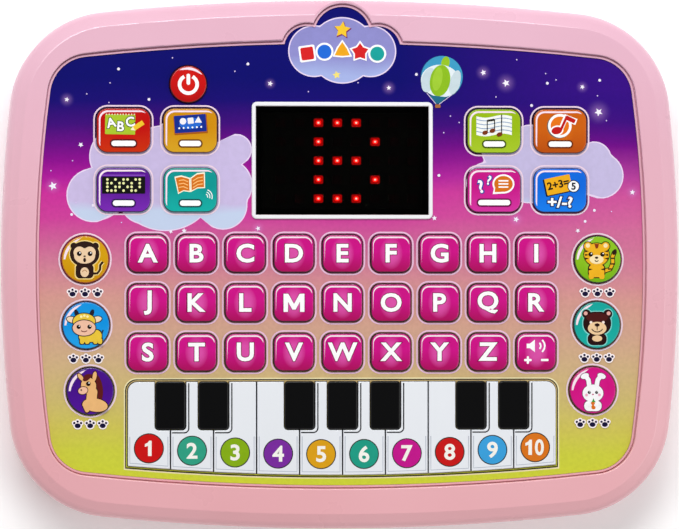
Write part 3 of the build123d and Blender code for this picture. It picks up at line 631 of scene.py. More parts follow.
def draw_volume(art):
    speaker = [(-3.4, 1.3), (-2.3, 1.3), (-0.5, -0.1), (-0.5, 4.3), (-2.3, 2.9), (-3.4, 2.9)]
    art.shape(speaker, WHITE)
    for radius in (1.4, 2.8):
        art.shape(band(ellipse(0.2, 2.1, radius, start=-48, end=48), 0.6), WHITE, None)
    for side in (-1, 1):
        art.shape(rounded(2.7, 0.8, 0.3, side * 3.0, -2.9), WHITE, None)
    art.shape(rounded(0.8, 2.7, 0.3, -3.0, -2.9), WHITE, False)


def draw_power(art):
    art.shape(band(ellipse(0.0, -0.1, 3.1, start=118, end=422), 1.25), WHITE)
    art.shape(rounded(1.25, 3.9, 0.6, 0.0, 1.7), WHITE)


def draw_abc(art):
    art.shape(rounded(10.6, 6.9, 0.3, -1.2, 2.0, -1), "A9C62C")
    art.dots([(-6.0 + 0.98 * i, 5.6) for i in range(11)], 0.26, "E9E6C0")
    for letter, x, y, turn in (("A", -4.4, 2.7, 12), ("B", -1.0, 1.4, -4), ("C", 2.3, 3.0, 8)):
        outlined(art, letter, 4.6, x, y, "16321E", 0.14, 0.22, turn)
    art.shape(band([(3.6, 0.6), (6.9, 2.8)], 1.7), "F2C52A")
    art.shape([(3.2, 1.3), (4.2, -0.1), (2.4, 0.1)], "FFF3C8")
    bar_label(art, 8.6, -4.6, "5A0808")


def draw_blocks(art):
    art.shape(rounded(11.8, 6.7, 0.3, 0.1, 2.0, 4), "A85A08")
    art.shape(rounded(11.2, 6.1, 0.2, 0.0, 2.4, 4), "0A2A8E")
    art.shape(ellipse(0.0, 2.5, 3.9, 2.0, 4), "2468D0")
    art.shape(ellipse(-2.6, 3.2, 1.15), "F4F0F4")
    art.shape(rounded(2.1, 2.1, 0.3, 0.1, 3.4, 6), "F4F0F4")
    art.shape(star(2.8, 3.5, 1.5, 3, 0.5), "F4F0F4")
    art.dots([(-3.9 + 1.55 * i, 0.75 + 0.1 * i) for i in range(6)], 0.33, WHITE)
    bar_label(art, 7.6, -4.6, "6A3A04")


def draw_spell(art):
    art.shape(rounded(15.2, 0.4, 0.2, 0.0, 5.1), "8A4AC0")
    art.shape(rounded(15.2, 6.0, 0.3, 0.0, 1.6), "070708")
    columns = ((0, 1, 2, 3), (1, 3), (0, 2, 3), (1, 2), (0, 1, 3), (0, 2), (1, 2, 3), (0, 3), (0, 1, 2))
    for i, rows in enumerate(columns):
        art.dots([(-5.7 + 1.42 * i, 3.6 - 1.3 * row) for row in rows], 0.46, "EDEFA8")
    bar_label(art, 7.6, -4.7, "2A0850")


def draw_book(art):
    left = [(-5.6, 4.6), (-3.2, 5.1), (-0.1, 4.2), (0.1, -0.8), (-2.4, -0.5), (-4.3, -1.5)]
    right = [(0.0, 4.2), (2.4, 5.9), (5.1, 6.2), (5.2, 0.6), (2.6, 0.5), (0.1, -0.8)]
    for page in (left, right):
        middle = (sum(x for x, y in page) / 6, sum(y for x, y in page) / 6)
        art.shape(page, "FFF6DC", step=page is left)
        inner = [(middle[0] + 0.86 * (x - middle[0]), middle[1] + 0.84 * (y - middle[1])) for x, y in page]
        art.shape(inner, "D8700E", step=True)
    for i in range(3):
        drop = 1.2 * i
        left_line = [(-4.1, 3.2 - drop), (-2.4, 3.5 - drop), (-0.8, 2.8 - drop)]
        right_line = [(0.9, 3.1 - drop), (2.6, 4.2 - drop), (4.4, 4.5 - drop)]
        art.shape(band(left_line, 0.35), "FBC27A", i == 0)
        art.shape(band(right_line, 0.35), "FBC27A", False)
    for r in (0.9, 1.7, 2.5):
        art.shape(band(ellipse(5.2, -2.4, r, start=-20, end=70), 0.3), WHITE, r == 0.9)
    bar_label(art, 7.4, -4.7, "064A4A")


def draw_song(art):
    top = [(-6.3 + 0.7 * i, 5.2 - 0.5 * sin(0.35 * i)) for i in range(19)]
    low = [(x, y - 6.6) for x, y in top]
    art.shape(top + low[::-1], "F6F8F4")
    for line in range(4):
        art.shape(band([(x, y - 1.1 - 1.4 * line) for x, y in top], 0.32), "8FA6C4", line == 0)
    for x, y, tall in ((-3.2, -0.6, 4.2), (-0.6, 0.1, 3.9), (1.9, -1.2, 7.0)):
        art.shape(band([(x + 0.75, y), (x + 0.75, y + tall)], 0.34), "1C1C14")
        art.shape(ellipse(x, y, 1.05, 0.75, 20), "7A3412")
    art.shape(band([(-2.5, 3.6), (0.1, 4.0)], 0.7), "1C1C14")
    bar_label(art, 7.6, -4.6, "3E5206")


def draw_music(art):
    art.shape(ellipse(-0.4, 1.7, 4.3), "6E6A60")
    art.shape(ellipse(-0.1, 1.9, 4.2), WHITE)
    art.shape(ellipse(-0.1, 1.9, 3.3), "E8740E")
    for grow, colour in ((0.5, WHITE), (0.0, "C01414")):
        art.shape(ellipse(-1.2, 0.2, 1.9 + grow, 1.3 + grow, 12), colour)
        art.shape(band([(0.2 - grow * 0.3, 0.3), (2.4, 5.2 + grow)], 0.9 + 1.6 * grow), colour, False)
        art.shape(band([(2.0 - grow, 4.9), (5.3 + grow, 3.4 - grow * 0.3)], 1.5 + 1.4 * grow), colour, False)
    bar_label(art, 8.2, -4.6, "6A2A04")


def draw_quiz(art):
    outlined(art, "?", 6.2, -4.7, 1.3, "1440A0", 0.16, 0.35, 14)
    outlined(art, "?", 4.4, -1.8, 3.5, "1440A0", 0.12, 0.3, -14)
    art.shape(ellipse(3.3, 2.2, 3.9, 3.4), WHITE)
    art.shape([(-0.5, -1.4), (0.4, 3.0), (3.4, -1.2)], WHITE, False)
    art.shape(ellipse(3.3, 2.2, 3.3, 2.8), "D8700E")
    art.shape([(0.2, -0.7), (0.5, 2.4), (3.2, -0.6)], "D8700E", False)
    for i in range(3):
        art.shape(rounded(3.6, 0.5, 0.2, 3.3, 3.3 - 1.1 * i), WHITE, i == 0)
    bar_label(art, 11.4, -4.4, "6A0648")


def draw_sums(art):
    art.shape(rounded(9.6, 6.2, 0.3, -0.9, 1.6, 12), "0A1A30")
    art.shape(rounded(9.2, 5.9, 0.3, -0.6, 1.9, 12), "F0AE14")
    art.text("2+3=", 3.7, -0.7, 2.1, "1A1408", 0.12, 12)
    art.shape(ellipse(4.8, 1.4, 2.2), "0A1A30")
    art.shape(ellipse(4.8, 1.4, 1.9), WHITE)
    art.text("5", 3.4, 4.8, 1.4, "101828", 0.12)
    outlined(art, "+/-?", 5.2, 0.0, -4.2, "0A1A50", 0.16, 0.3, 0.0, 1.15)


def eyes(art, spots, radius):
    """Dark eyes, each with a white glint."""
    art.dots(spots, radius, "160A08")
    art.dots([(x + radius * 0.3, y + radius * 0.35) for x, y in spots], radius * 0.3, WHITE)


def draw_monkey(art):
    fur = "2A140E"
    for grow, colour in ((0.35, "F6D98A"), (0.0, fur)):
        tail = [(2.4, -5.0), (4.3, -4.9), (5.2, -3.6), (5.3, -2.0), (6.2, -0.9)]
        art.shape(band(tail, 0.8 + 2 * grow), colour)
        art.shape(rounded(6.3 + 2 * grow, 5.2 + 2 * grow, 1.6, -0.2, -4.1), colour, False)
        art.dots([(-4.0, 4.7), (3.6, 4.7)], 1.2 + grow, colour)
        art.shape(ellipse(-0.2, 1.9, 5.2 + grow, 4.5 + grow), colour, False)
    art.dots([(-2.0, 2.4), (1.6, 2.4)], 2.1, "F0CFA8")
    art.shape(ellipse(-0.2, 1.2, 3.7, 2.7), "F0CFA8", False)
    eyes(art, [(-2.1, 2.0), (1.7, 2.0)], 0.85)
    art.shape(ellipse(-0.2, 1.1, 0.4, 0.3), fur)
    art.shape(ellipse(-0.2, -0.2, 0.5, 0.75), fur, False)
    art.shape(ellipse(-0.2, -4.5, 1.5, 1.7), "F0CFA8")
    art.shape(band(ellipse(-0.2, -4.6, 0.8, start=10, end=170), 0.25), "B07A50")


def draw_calf(art):
    line, hide, cream = "1E1A2A", "EBC63A", "F3D8B8"
    art.shape(band([(4.2, -2.4), (5.6, -2.8), (6.0, -1.6)], 0.5), line)
    for grow, colour in ((0.3, line), (0.0, hide)):
        art.shape(rounded(8.0 + 2 * grow, 4.2 + 2 * grow, 2.0, 1.5, -3.7), colour)
        for x in (-1.4, 0.4, 3.3, 4.9):
            art.shape(rounded(1.5 + 2 * grow, 2.0 + 2 * grow, 0.6, x, -5.5), colour, False)
        ear = cream if colour == hide else colour
        for x, y, turn in ((-4.9, 2.0, -12), (3.6, 2.1, 12)):
            art.shape(ellipse(x, y, 1.9 + grow, 1.0 + grow, turn), ear, False)
    for x, turn in ((-3.3, 20), (2.0, -20)):
        art.shape(ellipse(x, 4.2, 0.75, 1.5, turn), line, x < 0)
    art.shape(ellipse(-0.7, 1.4, 4.2, 3.1), line)
    art.shape(ellipse(-0.7, 1.4, 3.9, 2.8), hide)
    art.dots([(-1.7, 3.1), (-0.6, 3.4), (0.5, 3.1)], 0.45, "FFF2B0")
    art.shape(ellipse(-0.7, -0.9, 4.3, 3.0), line)
    art.shape(ellipse(-0.7, -0.9, 4.0, 2.7), "F2C0A4")
    eyes(art, [(-2.6, -0.5), (1.2, -0.5)], 0.75)
    art.shape(band(ellipse(-0.7, -1.6, 1.1, 0.6, start=200, end=340), 0.3), "7A3A30")


def draw_horse(art):
    line, coat, mane = "3A1208", "EDB878", "5C1616"
    art.shape(ellipse(2.4, 1.0, 2.0, 5.0, 8), mane)
    art.shape(ellipse(0.2, 4.3, 2.6, 1.6, -20), mane, False)
    for grow, colour in ((0.3, line), (0.0, coat)):
        art.shape(ellipse(1.7, -4.9, 4.4 + grow, 2.3 + grow, -8), colour)
        art.shape(rounded(3.6 + 2 * grow, 6.6 + 2 * grow, 1.6, 0.5, -2.0, -6), colour, False)
        art.shape(rounded(1.5 + 2 * grow, 3.6 + 2 * grow, 0.7, -1.6, -5.7, 24), colour, False)
        art.shape(ellipse(-0.6, 1.9, 2.6 + grow, 2.9 + grow, 18), colour, False)
        art.shape(ellipse(1.5, 5.2, 0.7 + grow, 1.7 + grow, -8), colour, False)
        art.shape(ellipse(-3.4, 4.9, 0.65 + grow, 1.5 + grow, 38), colour, False)
    art.shape(ellipse(-2.6, 0.2, 1.9, 1.5, 14), line)
    art.shape(ellipse(-2.6, 0.2, 1.65, 1.25, 14), "F4BFA0")
    art.dots([(-3.2, 0.4)], 0.3, line)
    eyes(art, [(-0.7, 2.6)], 0.8)
    art.shape(ellipse(-1.3, 4.5, 1.5, 0.8, 30), mane)


def draw_tiger(art):
    line, coat, cream = "2A1606", "F0B41E", "FBE6B4"
    tail = [(2.2, -4.2), (4.4, -3.4), (5.3, -1.2), (5.2, 1.0), (6.0, 2.8)]
    art.shape(band(tail, 1.7), line)
    art.shape(band(tail, 1.1), coat)
    for x, y in ((4.3, -3.4), (5.3, -1.6), (5.2, 0.4)):
        art.shape(rounded(1.6, 0.5, 0.2, x, y), line, y < -3)
    art.shape(ellipse(5.9, 2.6, 0.7, 1.1, -25), line, False)
    for grow, colour in ((0.3, line), (0.0, coat)):
        art.shape(rounded(5.6 + 2 * grow, 4.6 + 2 * grow, 1.8, -0.5, -4.0), colour)
        art.dots([(-3.6, 4.7), (2.7, 4.7)], 1.4 + grow, colour)
        art.shape(ellipse(-0.5, 1.7, 4.4 + grow, 4.0 + grow), colour, False)
    art.dots([(-3.6, 4.9), (2.7, 4.9)], 0.75, cream)
    art.shape([(-1.3, 5.5), (0.4, 5.5), (-0.1, 3.9), (-0.8, 3.9)], "8A3410")
    for side in (-1, 1):
        for y in (2.9, 1.6, 0.3):
            x = -0.5 + side * 4.1
            art.shape([(x, y + 0.4), (x - side * 1.4, y), (x, y - 0.4)], line, False)
        stripe = [(-0.5 + side * 2.8, -3.1), (-0.5 + side * 1.4, -3.5), (-0.5 + side * 2.8, -3.9)]
        art.shape(stripe, line, False)
        art.shape(rounded(1.8, 2.2, 0.7, -0.5 + side * 1.9, -5.9), coat, False)
    art.shape(ellipse(-0.5, 0.0, 2.5, 1.6), cream)
    eyes(art, [(-2.6, 1.8), (1.6, 1.8)], 0.8)
    art.shape(ellipse(-0.5, 0.6, 0.6, 0.4), line)
    art.shape(band(ellipse(-0.5, -0.2, 0.6, 0.5, start=190, end=350), 0.28), line, False)


def draw_bear(art):
    fur, muzzle = "240606", "F0CB9C"
    for grow, colour in ((0.3, "7FD6CF"), (0.0, fur)):
        art.shape(rounded(6.8 + 2 * grow, 4.4 + 2 * grow, 2.0, 0.0, -5.0), colour)
        art.dots([(-3.8, 3.9), (3.8, 3.9)], 1.6 + grow, colour)
        art.shape(rounded(10.0 + 2 * grow, 8.2 + 2 * grow, 3.9, 0.0, 0.6), colour, False)
    art.dots([(-4.1, 4.1), (4.1, 4.1)], 0.7, "E8A9A0")
    art.shape(ellipse(0.0, 2.6, 3.9, 1.7), "4A1010")
    art.dots([(-2.2, 0.9), (2.2, 0.9)], 0.5, "F6E6DC")
    art.shape(ellipse(0.0, -1.2, 3.3, 2.3), muzzle)
    art.shape(ellipse(0.0, 0.0, 0.9, 0.6), fur)
    art.shape(band([(0.0, 0.0), (0.0, -1.9)], 0.3), fur, False)
    art.shape(band(ellipse(0.0, -0.6, 2.1, 1.9, start=205, end=335), 0.35), fur, False)
    art.shape(ellipse(0.0, -4.8, 1.8, 1.1), muzzle)


def draw_rabbit(art):
    line, coat = "6A3A58", "FBFAFC"
    for grow, colour in ((0.22, line), (0.0, coat)):
        art.shape(rounded(6.2 + 2 * grow, 3.6 + 2 * grow, 1.7, 0.0, -5.6), colour)
        art.shape(band([(-1.3, 1.4), (-1.6, 3.6), (-2.6, 5.0)], 1.6 + 2 * grow), colour, False)
        art.shape(ellipse(-2.9, 5.0, 1.5 + grow, 0.95 + grow, 20), colour, False)
        art.shape(band([(1.3, 1.4), (1.7, 3.6), (2.8, 5.0)], 1.6 + 2 * grow), colour, False)
        art.shape(ellipse(3.1, 5.0, 1.5 + grow, 0.95 + grow, -20), colour, False)
        art.shape(ellipse(0.0, -1.1, 3.7 + grow, 3.1 + grow), colour, False)
    eyes(art, [(-1.3, -0.8), (1.3, -0.8)], 0.55)
    art.dots([(-2.3, -1.7), (2.3, -1.7)], 0.5, "F2A9C4")
    art.shape(ellipse(0.0, -1.5, 0.35, 0.25), "C0507A")
    art.shape(rounded(1.4, 2.8, 0.6, 0.1, -5.4, 8), "E0701A")
    art.shape(star(0.2, -3.8, 0.9, 3, 0.4), "3C9A3A")
    for side in (-1, 1):
        art.shape(ellipse(side * 1.6, -5.0, 1.3, 0.6, side * 20), coat, side < 0)


# Key colours: the key's own, then three painted lights: the colour at its lower edge (painted shade where
# darker, painted reflection where lighter), the painted highlight behind its legend and the painted shade at
# its foot.
LETTER_COLOURS = ("CC0E86", "A80A56", "E05CB2", "43021F")
KEYS = [
    Key("key_" + c, "letter", *LETTER_COLOURS, draw_letter(c.upper()))
    for c in "abcdefghijklnopqrstuvwxyz"
]
KEYS += [
    Key("key_m", "letter", *LETTER_COLOURS, draw_m),
    Key("key_volume", "letter", *LETTER_COLOURS, draw_volume),
    Key("power_button", "power", "C80C0C", "B00C0A", "D61C10", "5A0606", draw_power),
    Key("key_abc", "function", "BE0404", "CC3008", "C60808", "4E0608", draw_abc),
    Key("key_blocks", "function", "CC8A04", "D8A422", "D2900A", "5A2E04", draw_blocks),
    Key("key_spell", "function", "56128E", "7A2AB4", "5E1A98", "1E0438", draw_spell),
    Key("key_book", "function", "0A938F", "12B0A6", "10A09A", "043638", draw_book),
    Key("key_song", "function", "96B80E", "A8C82A", "A0C01A", "2C3C04", draw_song),
    Key("key_music", "function", "CC600A", "B84C06", "D86C0E", "4A1A04", draw_music),
    Key("key_quiz", "function", "C41084", "D434A0", "CE1E90", "4E0434", draw_quiz),
    Key("key_sums", "function", "0A66DA", "167EEC", "1070E4", "041A54", draw_sums),
    Key("key_monkey", "picture", "D29E08", "C88C04", "E2B41C", "A8420A", draw_monkey),
    Key("key_calf", "picture", "0890DE", "24A4EA", "1A9CE6", "0A3A70", draw_calf),
    Key("key_horse", "picture", "440A86", "52109A", "4A0E90", "1C0438", draw_horse),
    Key("key_tiger", "picture", "8CC220", "74B010", "9ACC34", "1E3C06", draw_tiger),
    Key("key_bear", "picture", "10A298", "18B0A4", "1AB0A6", "043C3A", draw_bear),
    Key("key_rabbit", "picture", "CE0C7E", "D81A8C", "D6188A", "6A0638", draw_rabbit),
]


HALO_OUT = 1.0
HALO_IN = 0.45


def build_keys():
    """Caps and legends for every separately moving key, and the pale line printed round each one."""
    halos = Art("key_halos", OVER_CLOUD_Z)
    halos.level = 1
    materials = {}
    for key in KEYS:
        middle, wide, high = node_middle(key.node)
        wide -= 2 * FLANGE_OUT
        high -= 2 * FLANGE_OUT
        corner = KEY_CORNER[key.kind]
        if key.colours not in materials:
            materials[key.colours] = cap_gloss(key.kind + "_" + key.colours[0], key.colours, high / 2 * MM)
        key_cap(key.node, key.kind, materials[key.colours])
        art = Art(key.node + "_legend", KEY_Z)
        inset, thick, start, end = GLEAMS[key.kind]
        # Painted highlight: a pale crescent along the top of the cap.
        art.shape(gleam(wide, high, corner, inset, thick, start, end), "F9E4F0")
        key.draw(art)
        art.build(key.node, middle)
        if key.kind != "power":
            rings = []
            for grow in (HALO_OUT, HALO_IN):
                rings.append(rounded(wide + 2 * grow, high + 2 * grow, corner + grow, *middle))
            halos.shape(rings, "F3C9E6" if key.kind == "letter" else "F6DCEC", None)
    halos.build("case")


build_keys()


# ---- prints on the face sheet ----

def cloud_ink(name, lilac, pale, sky_y, soft):
    """Lilac cloud print that turns pale blue below a level."""
    n = Nodes(name)
    level = n.math("ADD", n.axis("Y"), n.span(n.noise(45.0, 2.0), 0.0, 1.0, -0.004, 0.004))
    below = n.span(level, (sky_y + soft) * MM, (sky_y - soft) * MM)
    mottle = n.mix(n.span(n.noise(500.0, 2.0), 0.35, 0.65), rgb(lilac), shaded(lilac, 0.95))
    return n.surface(n.mix(below, mottle, rgb(pale)), 0.32, coat=0.3, coat_rough=0.08)


LEFT_CLOUD = (
    (-56.5, 39.5, 12.0), (-37.5, 40.5, 5.2), (-79.0, 38.0, 10.0), (-87.8, 24.4, 9.2), (-70.0, 23.0, 8.5),
    (-62.5, 30.4, 18.3), (-42.2, 20.9, 8.3), (-41.0, 28.0, 8.9),
)
RIGHT_CLOUD = (
    (51.5, 28.8, 7.2), (58.0, 40.5, 8.2), (67.0, 40.0, 9.2), (75.5, 37.0, 10.0), (89.5, 37.2, 6.1),
    (92.0, 31.5, 7.8), (66.5, 31.8, 9.8), (79.0, 33.0, 10.0),
)
BADGE_CLOUD = ((0.0, 75.6, 11.4), (-10.0, 75.3, 8.8), (10.0, 75.3, 8.8))
BIG_DOTS = (
    (-79.0, 68.8), (-68.3, 58.1), (-33.4, 70.7), (-95.5, 17.6), (26.3, 67.2), (72.9, 64.2), (91.6, 65.3),
    (67.3, 56.3), (34.3, 31.5), (89.7, 19.2), (86.4, 15.3), (-88.0, 20.8),
)
SMALL_DOTS = (
    (-82.0, 63.9), (-90.2, 60.0), (-82.4, 57.0), (-38.0, 68.1), (-102.8, 33.0), (-95.2, 36.5), (-94.0, 21.7),
    (-78.0, 14.8), (-71.2, 15.2), (-31.3, 49.0), (54.6, 59.3), (72.3, 67.6), (76.0, 65.4), (90.8, 59.8),
    (94.0, 51.0), (38.4, 52.5), (36.0, 46.6), (95.8, 18.8), (41.5, 50.2), (-60.0, 72.8), (5.6, 64.2),
    (-12.0, 61.0), (62.0, 72.5),
)
# The balloon's rim, shades and panels: centre, half width and height, turn and colour.
BALLOON = (
    (35.3, 66.3, 7.6, 7.6, 0, "1E3C7A"),
    (35.4, 66.4, 7.35, 7.35, 0, "3C9CC4"),
    (36.6, 71.2, 1.5, 2.4, -12, "96C422"),
    (34.9, 64.9, 7.0, 5.7, -8, "E4EEF2"),
    (30.6, 65.2, 2.4, 4.4, -14, "C6D8E0"),
    (40.0, 64.4, 1.8, 4.4, -16, "C9DAE0"),
    (34.7, 65.0, 3.6, 5.6, -10, "8CBC1C"),
    (33.8, 65.6, 1.7, 4.2, -10, "A0CC34"),
)


def face_prints():
    """The pictures printed on the face sheet."""
    left = cloud_ink("cloud_left", "CBBCE4", "C4D2EC", 20.2, 1.6)
    right = cloud_ink("cloud_right", "C6BCE2", "C2D2F0", 22.5, 1.4)
    badge = cloud_ink("cloud_badge", "8E8CCC", "A4B2E4", 70.0, 3.0)
    clouds = Art("cloud_print", FACE_Z)
    for spots, middle, body in (
        (LEFT_CLOUD, (-62.5, 31.0), left),
        (RIGHT_CLOUD, (70.0, 33.0), right),
        (BADGE_CLOUD, (0.0, 74.5), badge),
    ):
        clouds.shape(lobes(*middle, spots, 0.35), "EAD8F4")
        clouds.shape(lobes(*middle, spots, -0.1), body)
    clouds.build("case")

    sky = Art("star_print", STAR_Z)
    sky.level += 1
    for x, y, size, reach in STARS:
        sky.shape(star(x, y, size, 5, 0.45, 90 + 9 * x), "F7F2FF", None)
    sky.dots(BIG_DOTS, 0.5, "F2EAFB")
    sky.dots(SMALL_DOTS, 0.24, "D9C4EE")
    sky.build("case")

    badge_art = Art("badge_print", OVER_CLOUD_Z)
    badge_art.shape(star(0.2, 82.6, 3.3, 5, 0.5, 84), "7A1460")
    badge_art.shape(star(0.0, 82.9, 3.0, 5, 0.5, 84), "F6C92E")
    badge_art.shape(star(-2.0, 66.9, 1.5, 5, 0.5, 100), "F6E27A")
    symbols = (
        (-12.4, "D81E20", 4), (-6.3, "1E6AD8", 0), (0.0, "F0A818", 3), (6.3, "D81E20", 5),
        (12.4, "12A09A", 0),
    )
    for x, colour, corners in symbols:
        y = 74.6 + 0.8 * cos(x / 7)
        for grow, fill in ((0.7, WHITE), (0.0, colour)):
            size = 2.5 + grow
            if corners == 0:
                badge_art.shape(ellipse(x, y, size), fill)
            elif corners == 4:
                badge_art.shape(rounded(1.8 * size, 1.8 * size, 0.6, x, y, 8), fill)
            else:
                badge_art.shape(star(x, y, size * 1.25, corners, 0.62 if corners == 5 else 0.58), fill)
    badge_art.build("case")

    balloon = Art("balloon_print", OVER_CLOUD_Z)
    for x, y, rx, ry, turn, colour in BALLOON:
        balloon.shape(ellipse(x, y, rx, ry, turn), colour)
    balloon.shape([(30.6, 59.9), (37.0, 59.2), (34.6, 56.9), (33.3, 56.9)], "1E6A86")
    balloon.shape(band([(30.0, 60.6), (33.2, 56.8)], 0.25), "D8C8E8")
    balloon.shape(band([(39.0, 60.1), (34.4, 56.7)], 0.25), "D8C8E8", False)
    balloon.shape(rounded(1.9, 1.2, 0.3, 33.9, 56.0), "A86A3A")
    balloon.build("case")


PAW_DROP = 12.2
PAW_PITCH = 4.4
TOES = ((-1.2, 0.95), (0.0, 1.5), (1.2, 0.95))


def paw_prints():
    """A row of small paw prints under each picture key, standing for a name."""
    paws = Art("paw_print", OVER_CLOUD_Z)
    for key in KEYS:
        if key.kind == "picture":
            middle_x, middle_y = node_middle(key.node)[0]
            y = middle_y - PAW_DROP
            for grow, colour in ((0.45, "FFF4F6"), (0.0, "0E0A34")):
                paws.level += 1
                for place in (-PAW_PITCH, 0.0, PAW_PITCH):
                    x = middle_x + place
                    paws.shape(ellipse(x, y, 1.05 + grow, 0.85 + grow), colour, False)
                    for toe_x, toe_y in TOES:
                        paws.shape(ellipse(x + toe_x, y + toe_y, 0.42 + grow), colour, False)
    paws.build("case")


face_prints()
paw_prints()


# ---- piano: edge lines, number discs and border ----

PIANO_PITCH = 15.2
PIANO_TOP = -41.1
PIANO_LOW = -71.1
PIANO_BOW = 3.4
PIANO_CORNER = 3.4
PIANO_HALF = 5 * PIANO_PITCH
BOW_STEPS = 24
BORDER_EDGES = (0.3, 0.7, 1.15)
LINE_TOP = -60.6
LINE_INSET = 0.9
LINE_RISE = 1.3
BLACK_MARGIN = 1.15
MARGIN_ROUND = 1.6
DISC_R = 5.3
DISC_RIM = 0.35
DISC_Y = -66.9
DISC_BOW = 0.11
FIGURE_SIZE = 7.6
FIGURE_INK = "F8F6EE"
FIGURE_ONE = (
    (-0.3, -2.7), (0.95, -2.7), (0.95, 2.7), (0.1, 2.7), (-0.4, 2.0), (-1.4, 1.5), (-1.4, 0.5), (-0.3, 0.9),
)
BLACK_AT = (1, 2, 4, 5, 6, 8, 9)
BLACK_SIZE = (10.6, 17.0)
NUMBER_COLOURS = (
    "CC0E0E", "2FA083", "86AE10", "7A2A9E", "DCA014", "1E9C84", "C4128C", "C81414", "3AA0DC", "DC7418",
)


def number_spots():
    """Each white key's number, colour and disc centre."""
    for number, colour in enumerate(NUMBER_COLOURS, 1):
        along = number - 5.5
        yield number, colour, along * PIANO_PITCH, DISC_Y + DISC_BOW * along ** 2


def piano_low(x, half):
    """How far down the piano's bowed lower edge is at x."""
    return PIANO_LOW - PIANO_BOW * (1 - (x / half) ** 2)


def piano_line(grow):
    """Outline of the whole piano, enlarged by grow."""
    half = PIANO_HALF + grow
    corner = PIANO_CORNER + grow
    top = PIANO_TOP + grow
    right = ellipse(half - corner, top - corner, corner, start=0, end=90)
    left = ellipse(corner - half, top - corner, corner, start=90, end=180)
    low = []
    for i in range(BOW_STEPS + 1):
        x = half * (2 * i / BOW_STEPS - 1)
        low.append((x, piano_low(x, half) - grow))
    return right + left + low


def white_key_lines(art):
    """The pale line printed inside each white key's lower part."""
    for number in range(len(NUMBER_COLOURS)):
        left = number * PIANO_PITCH - PIANO_HALF + LINE_INSET
        right = left + PIANO_PITCH - 2 * LINE_INSET
        ends = [(x, piano_low(x, PIANO_HALF) + LINE_RISE) for x in (left, right)]
        art.shape(band([(left, LINE_TOP), *ends, (right, LINE_TOP)], 0.3), "B4BAC6", None)


def draw_number(art, number, x, y):
    """A white key's number. The figure one is drawn, because the font's is a plain bar."""
    if number in (1, 10):
        left = x if number == 1 else x - 2.1
        art.shape([(left + u, y + v) for u, v in FIGURE_ONE], FIGURE_INK)
    if number == 10:
        art.text("0", FIGURE_SIZE, x + 1.5, y, FIGURE_INK, 0.2, 0.0, 0.86)
    elif number > 1:
        art.text(str(number), FIGURE_SIZE, x, y, FIGURE_INK, 0.2, 0.0, 1.05)


def piano_prints():
    """What is printed on the white keys, a painted shadow beside each black key, and the line round the
    piano on the face sheet.
    """
    white = Art("piano_numbers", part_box("piano_keys")[1].z / MM)
    white.level += 1
    # Painted shadow: a dark line along the right side and lower right of each black key's notch, where the
    # raised key would cast it.
    for place in BLACK_AT:
        x = place * PIANO_PITCH - PIANO_HALF
        side = x + BLACK_SIZE[0] / 2 + BLACK_MARGIN
        low = PIANO_TOP - BLACK_SIZE[1] - BLACK_MARGIN
        turn = ellipse(side - MARGIN_ROUND, low + MARGIN_ROUND, MARGIN_ROUND, start=0, end=-90)
        white.shape(band([(side, PIANO_TOP - 0.7), *turn, (x + 0.5, low)], 0.45), "1E1E24", None)
    white_key_lines(white)
    for radius, rim in ((DISC_R, "2A2A22"), (DISC_R - DISC_RIM, None)):
        white.level += 1
        for number, colour, x, y in number_spots():
            white.shape(ellipse(x, y, radius), rim or colour, None)
    for number, colour, x, y in number_spots():
        draw_number(white, number, x, y)
    white.build("piano_keys")

    border = Art("piano_border", FACE_Z)
    inner, middle, outer = [piano_line(grow) for grow in BORDER_EDGES]
    border.shape([middle, inner], "26221C")
    border.shape([outer, middle], "F1E6B4", None)
    border.build("case")


piano_prints()


# ---- lit lamps behind the window ----

# The columns lit in each row, from the top row down.
LIT_COLUMNS = ((0, 1, 2), (0, 3), (0, 1, 2), (0, 3), (0, 1, 2))
LAMP_PITCH = 6.7
LAMP_LEFT = -8.2
LAMP_TOP = 50.1


def lamp_glow(name, colour, strength):
    """Light given off by a lamp's lens, a little uneven."""
    n = Nodes(name)
    uneven = n.span(n.noise(900.0, 2.0), 0.3, 0.7, strength * 0.85, strength * 1.15)
    n.feed(n.shader.inputs["Emission Color"], rgb(colour))
    n.feed(n.shader.inputs["Emission Strength"], uneven)
    return n.surface(rgb("300404"), 0.4)


def lit_lamps():
    """The pattern that the dot display shows, as the glowing tops of its lamps."""
    lamps = Art("lamps_lit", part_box("led_matrix")[1].z / MM)
    spots = []
    for row, columns in enumerate(LIT_COLUMNS):
        spots += [(LAMP_LEFT + LAMP_PITCH * column, LAMP_TOP - LAMP_PITCH * row) for column in columns]
    for width, height, corner, glow in (
        (3.3, 2.9, 0.5, lamp_glow("lamp_red", "D00404", 2.6)),
        (1.9, 1.6, 0.7, lamp_glow("lamp_bright", "FF1A10", 6.0)),
        (0.8, 0.7, 0.3, lamp_glow("lamp_hot", "FFB0A0", 9.0)),
    ):
        lamps.level += 1
        for x, y in spots:
            lamps.shape(rounded(width, height, corner, x, y), glow, None)
    lamps.build("case")


lit_lamps()


# ---- camera, light and floor ----

SKY_SIDE = 0.74
SKY_TOP = 0.08


def aim(thing, target):
    """Turns a lamp to face a point."""
    thing.rotation_euler = (Vector(target) - thing.location).to_track_quat("-Z", "Y").to_euler()


def softbox(name, place, target, size, power):
    """A rectangular soft light."""
    data = bpy.data.lights.new(name, "AREA")
    data.shape = "RECTANGLE"
    data.size, data.size_y = size
    data.energy = power
    lamp = bpy.data.objects.new(name, data)
    lamp.location = place
    link(lamp)
    aim(lamp, target)


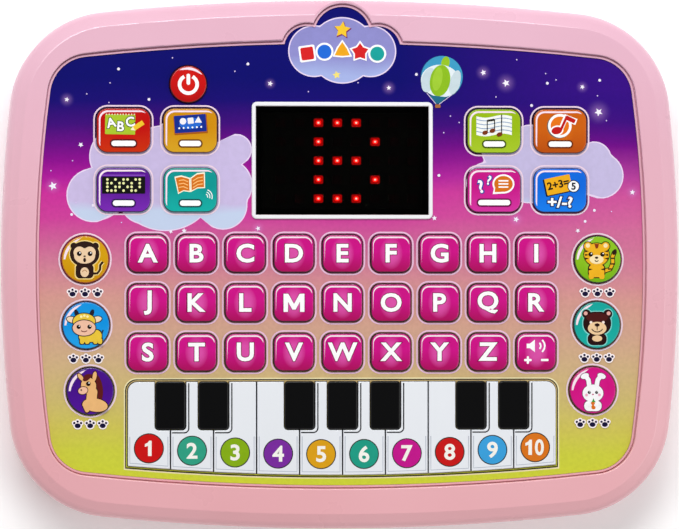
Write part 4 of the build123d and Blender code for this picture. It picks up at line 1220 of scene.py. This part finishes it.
def light_room():
    """A pale room, darker overhead, with a key light, a fill light and a strip for the highlights."""
    scene = bpy.context.scene
    scene.view_settings.view_transform = "Standard"
    world = bpy.data.worlds.new("studio")
    scene.world = world
    world.use_nodes = True
    tree = world.node_tree
    background = tree.nodes["Background"]
    height = tree.nodes.new("ShaderNodeSeparateXYZ")
    tree.links.new(tree.nodes.new("ShaderNodeTexCoord").outputs["Generated"], height.inputs[0])
    fade = tree.nodes.new("ShaderNodeMapRange")
    tree.links.new(height.outputs["Z"], fade.inputs[0])
    for socket, value in zip(fade.inputs[1:5], (0.35, 0.98, SKY_SIDE, SKY_TOP)):
        socket.default_value = value
    tree.links.new(fade.outputs[0], background.inputs["Strength"])
    background.inputs["Color"].default_value = (1.0, 1.0, 1.0, 1.0)
    softbox("key_light", (-0.25, 0.75, 1.1), (0, 0, 0), (0.9, 0.5), 7.4)
    softbox("fill_light", (0.9, -0.3, 1.0), (0, 0, 0), (0.7, 0.7), 3.4)
    softbox("top_strip", (0.0, 0.42, 0.6), (0, 0.05, 0.02), (0.6, 0.06), 1.6)


CAMERA_TILT = radians(5.0)
CAMERA_AWAY = 2.0
VIEW_WIDTH = 0.2405
VIEW_MIDDLE = Vector((-0.0004, 0.0, 0.0165))
SENSOR = 36.0


def place_camera():
    """A distant camera, almost straight above the face and tilted a little to its left."""
    data = bpy.data.cameras.new("camera")
    camera = bpy.data.objects.new("camera", data)
    link(camera)
    camera.location = VIEW_MIDDLE + CAMERA_AWAY * Vector((-sin(CAMERA_TILT), 0.0, cos(CAMERA_TILT)))
    camera.rotation_euler = (0.0, -CAMERA_TILT, 0.0)
    data.sensor_width = SENSOR
    data.lens = SENSOR * CAMERA_AWAY / VIEW_WIDTH
    data.clip_end = 20.0
    bpy.context.scene.camera = camera


def lay_floor():
    """A wide pale floor that gives off a little light, so that it stays white."""
    maker = bmesh.new()
    bmesh.ops.create_grid(maker, x_segments=8, y_segments=8, size=3.0)
    mesh = bpy.data.meshes.new("floor")
    maker.to_mesh(mesh)
    maker.free()
    floor = bpy.data.objects.new("floor", mesh)
    n = Nodes("floor_paper")
    n.feed(n.shader.inputs["Emission Color"], rgb(WHITE))
    n.feed(n.shader.inputs["Emission Strength"], 0.12)
    mesh.materials.append(n.surface(n.mix(n.noise(3.0), rgb("FAFAFA"), rgb(WHITE)), 0.8))
    link(floor)


light_room()
place_camera()
lay_floor()
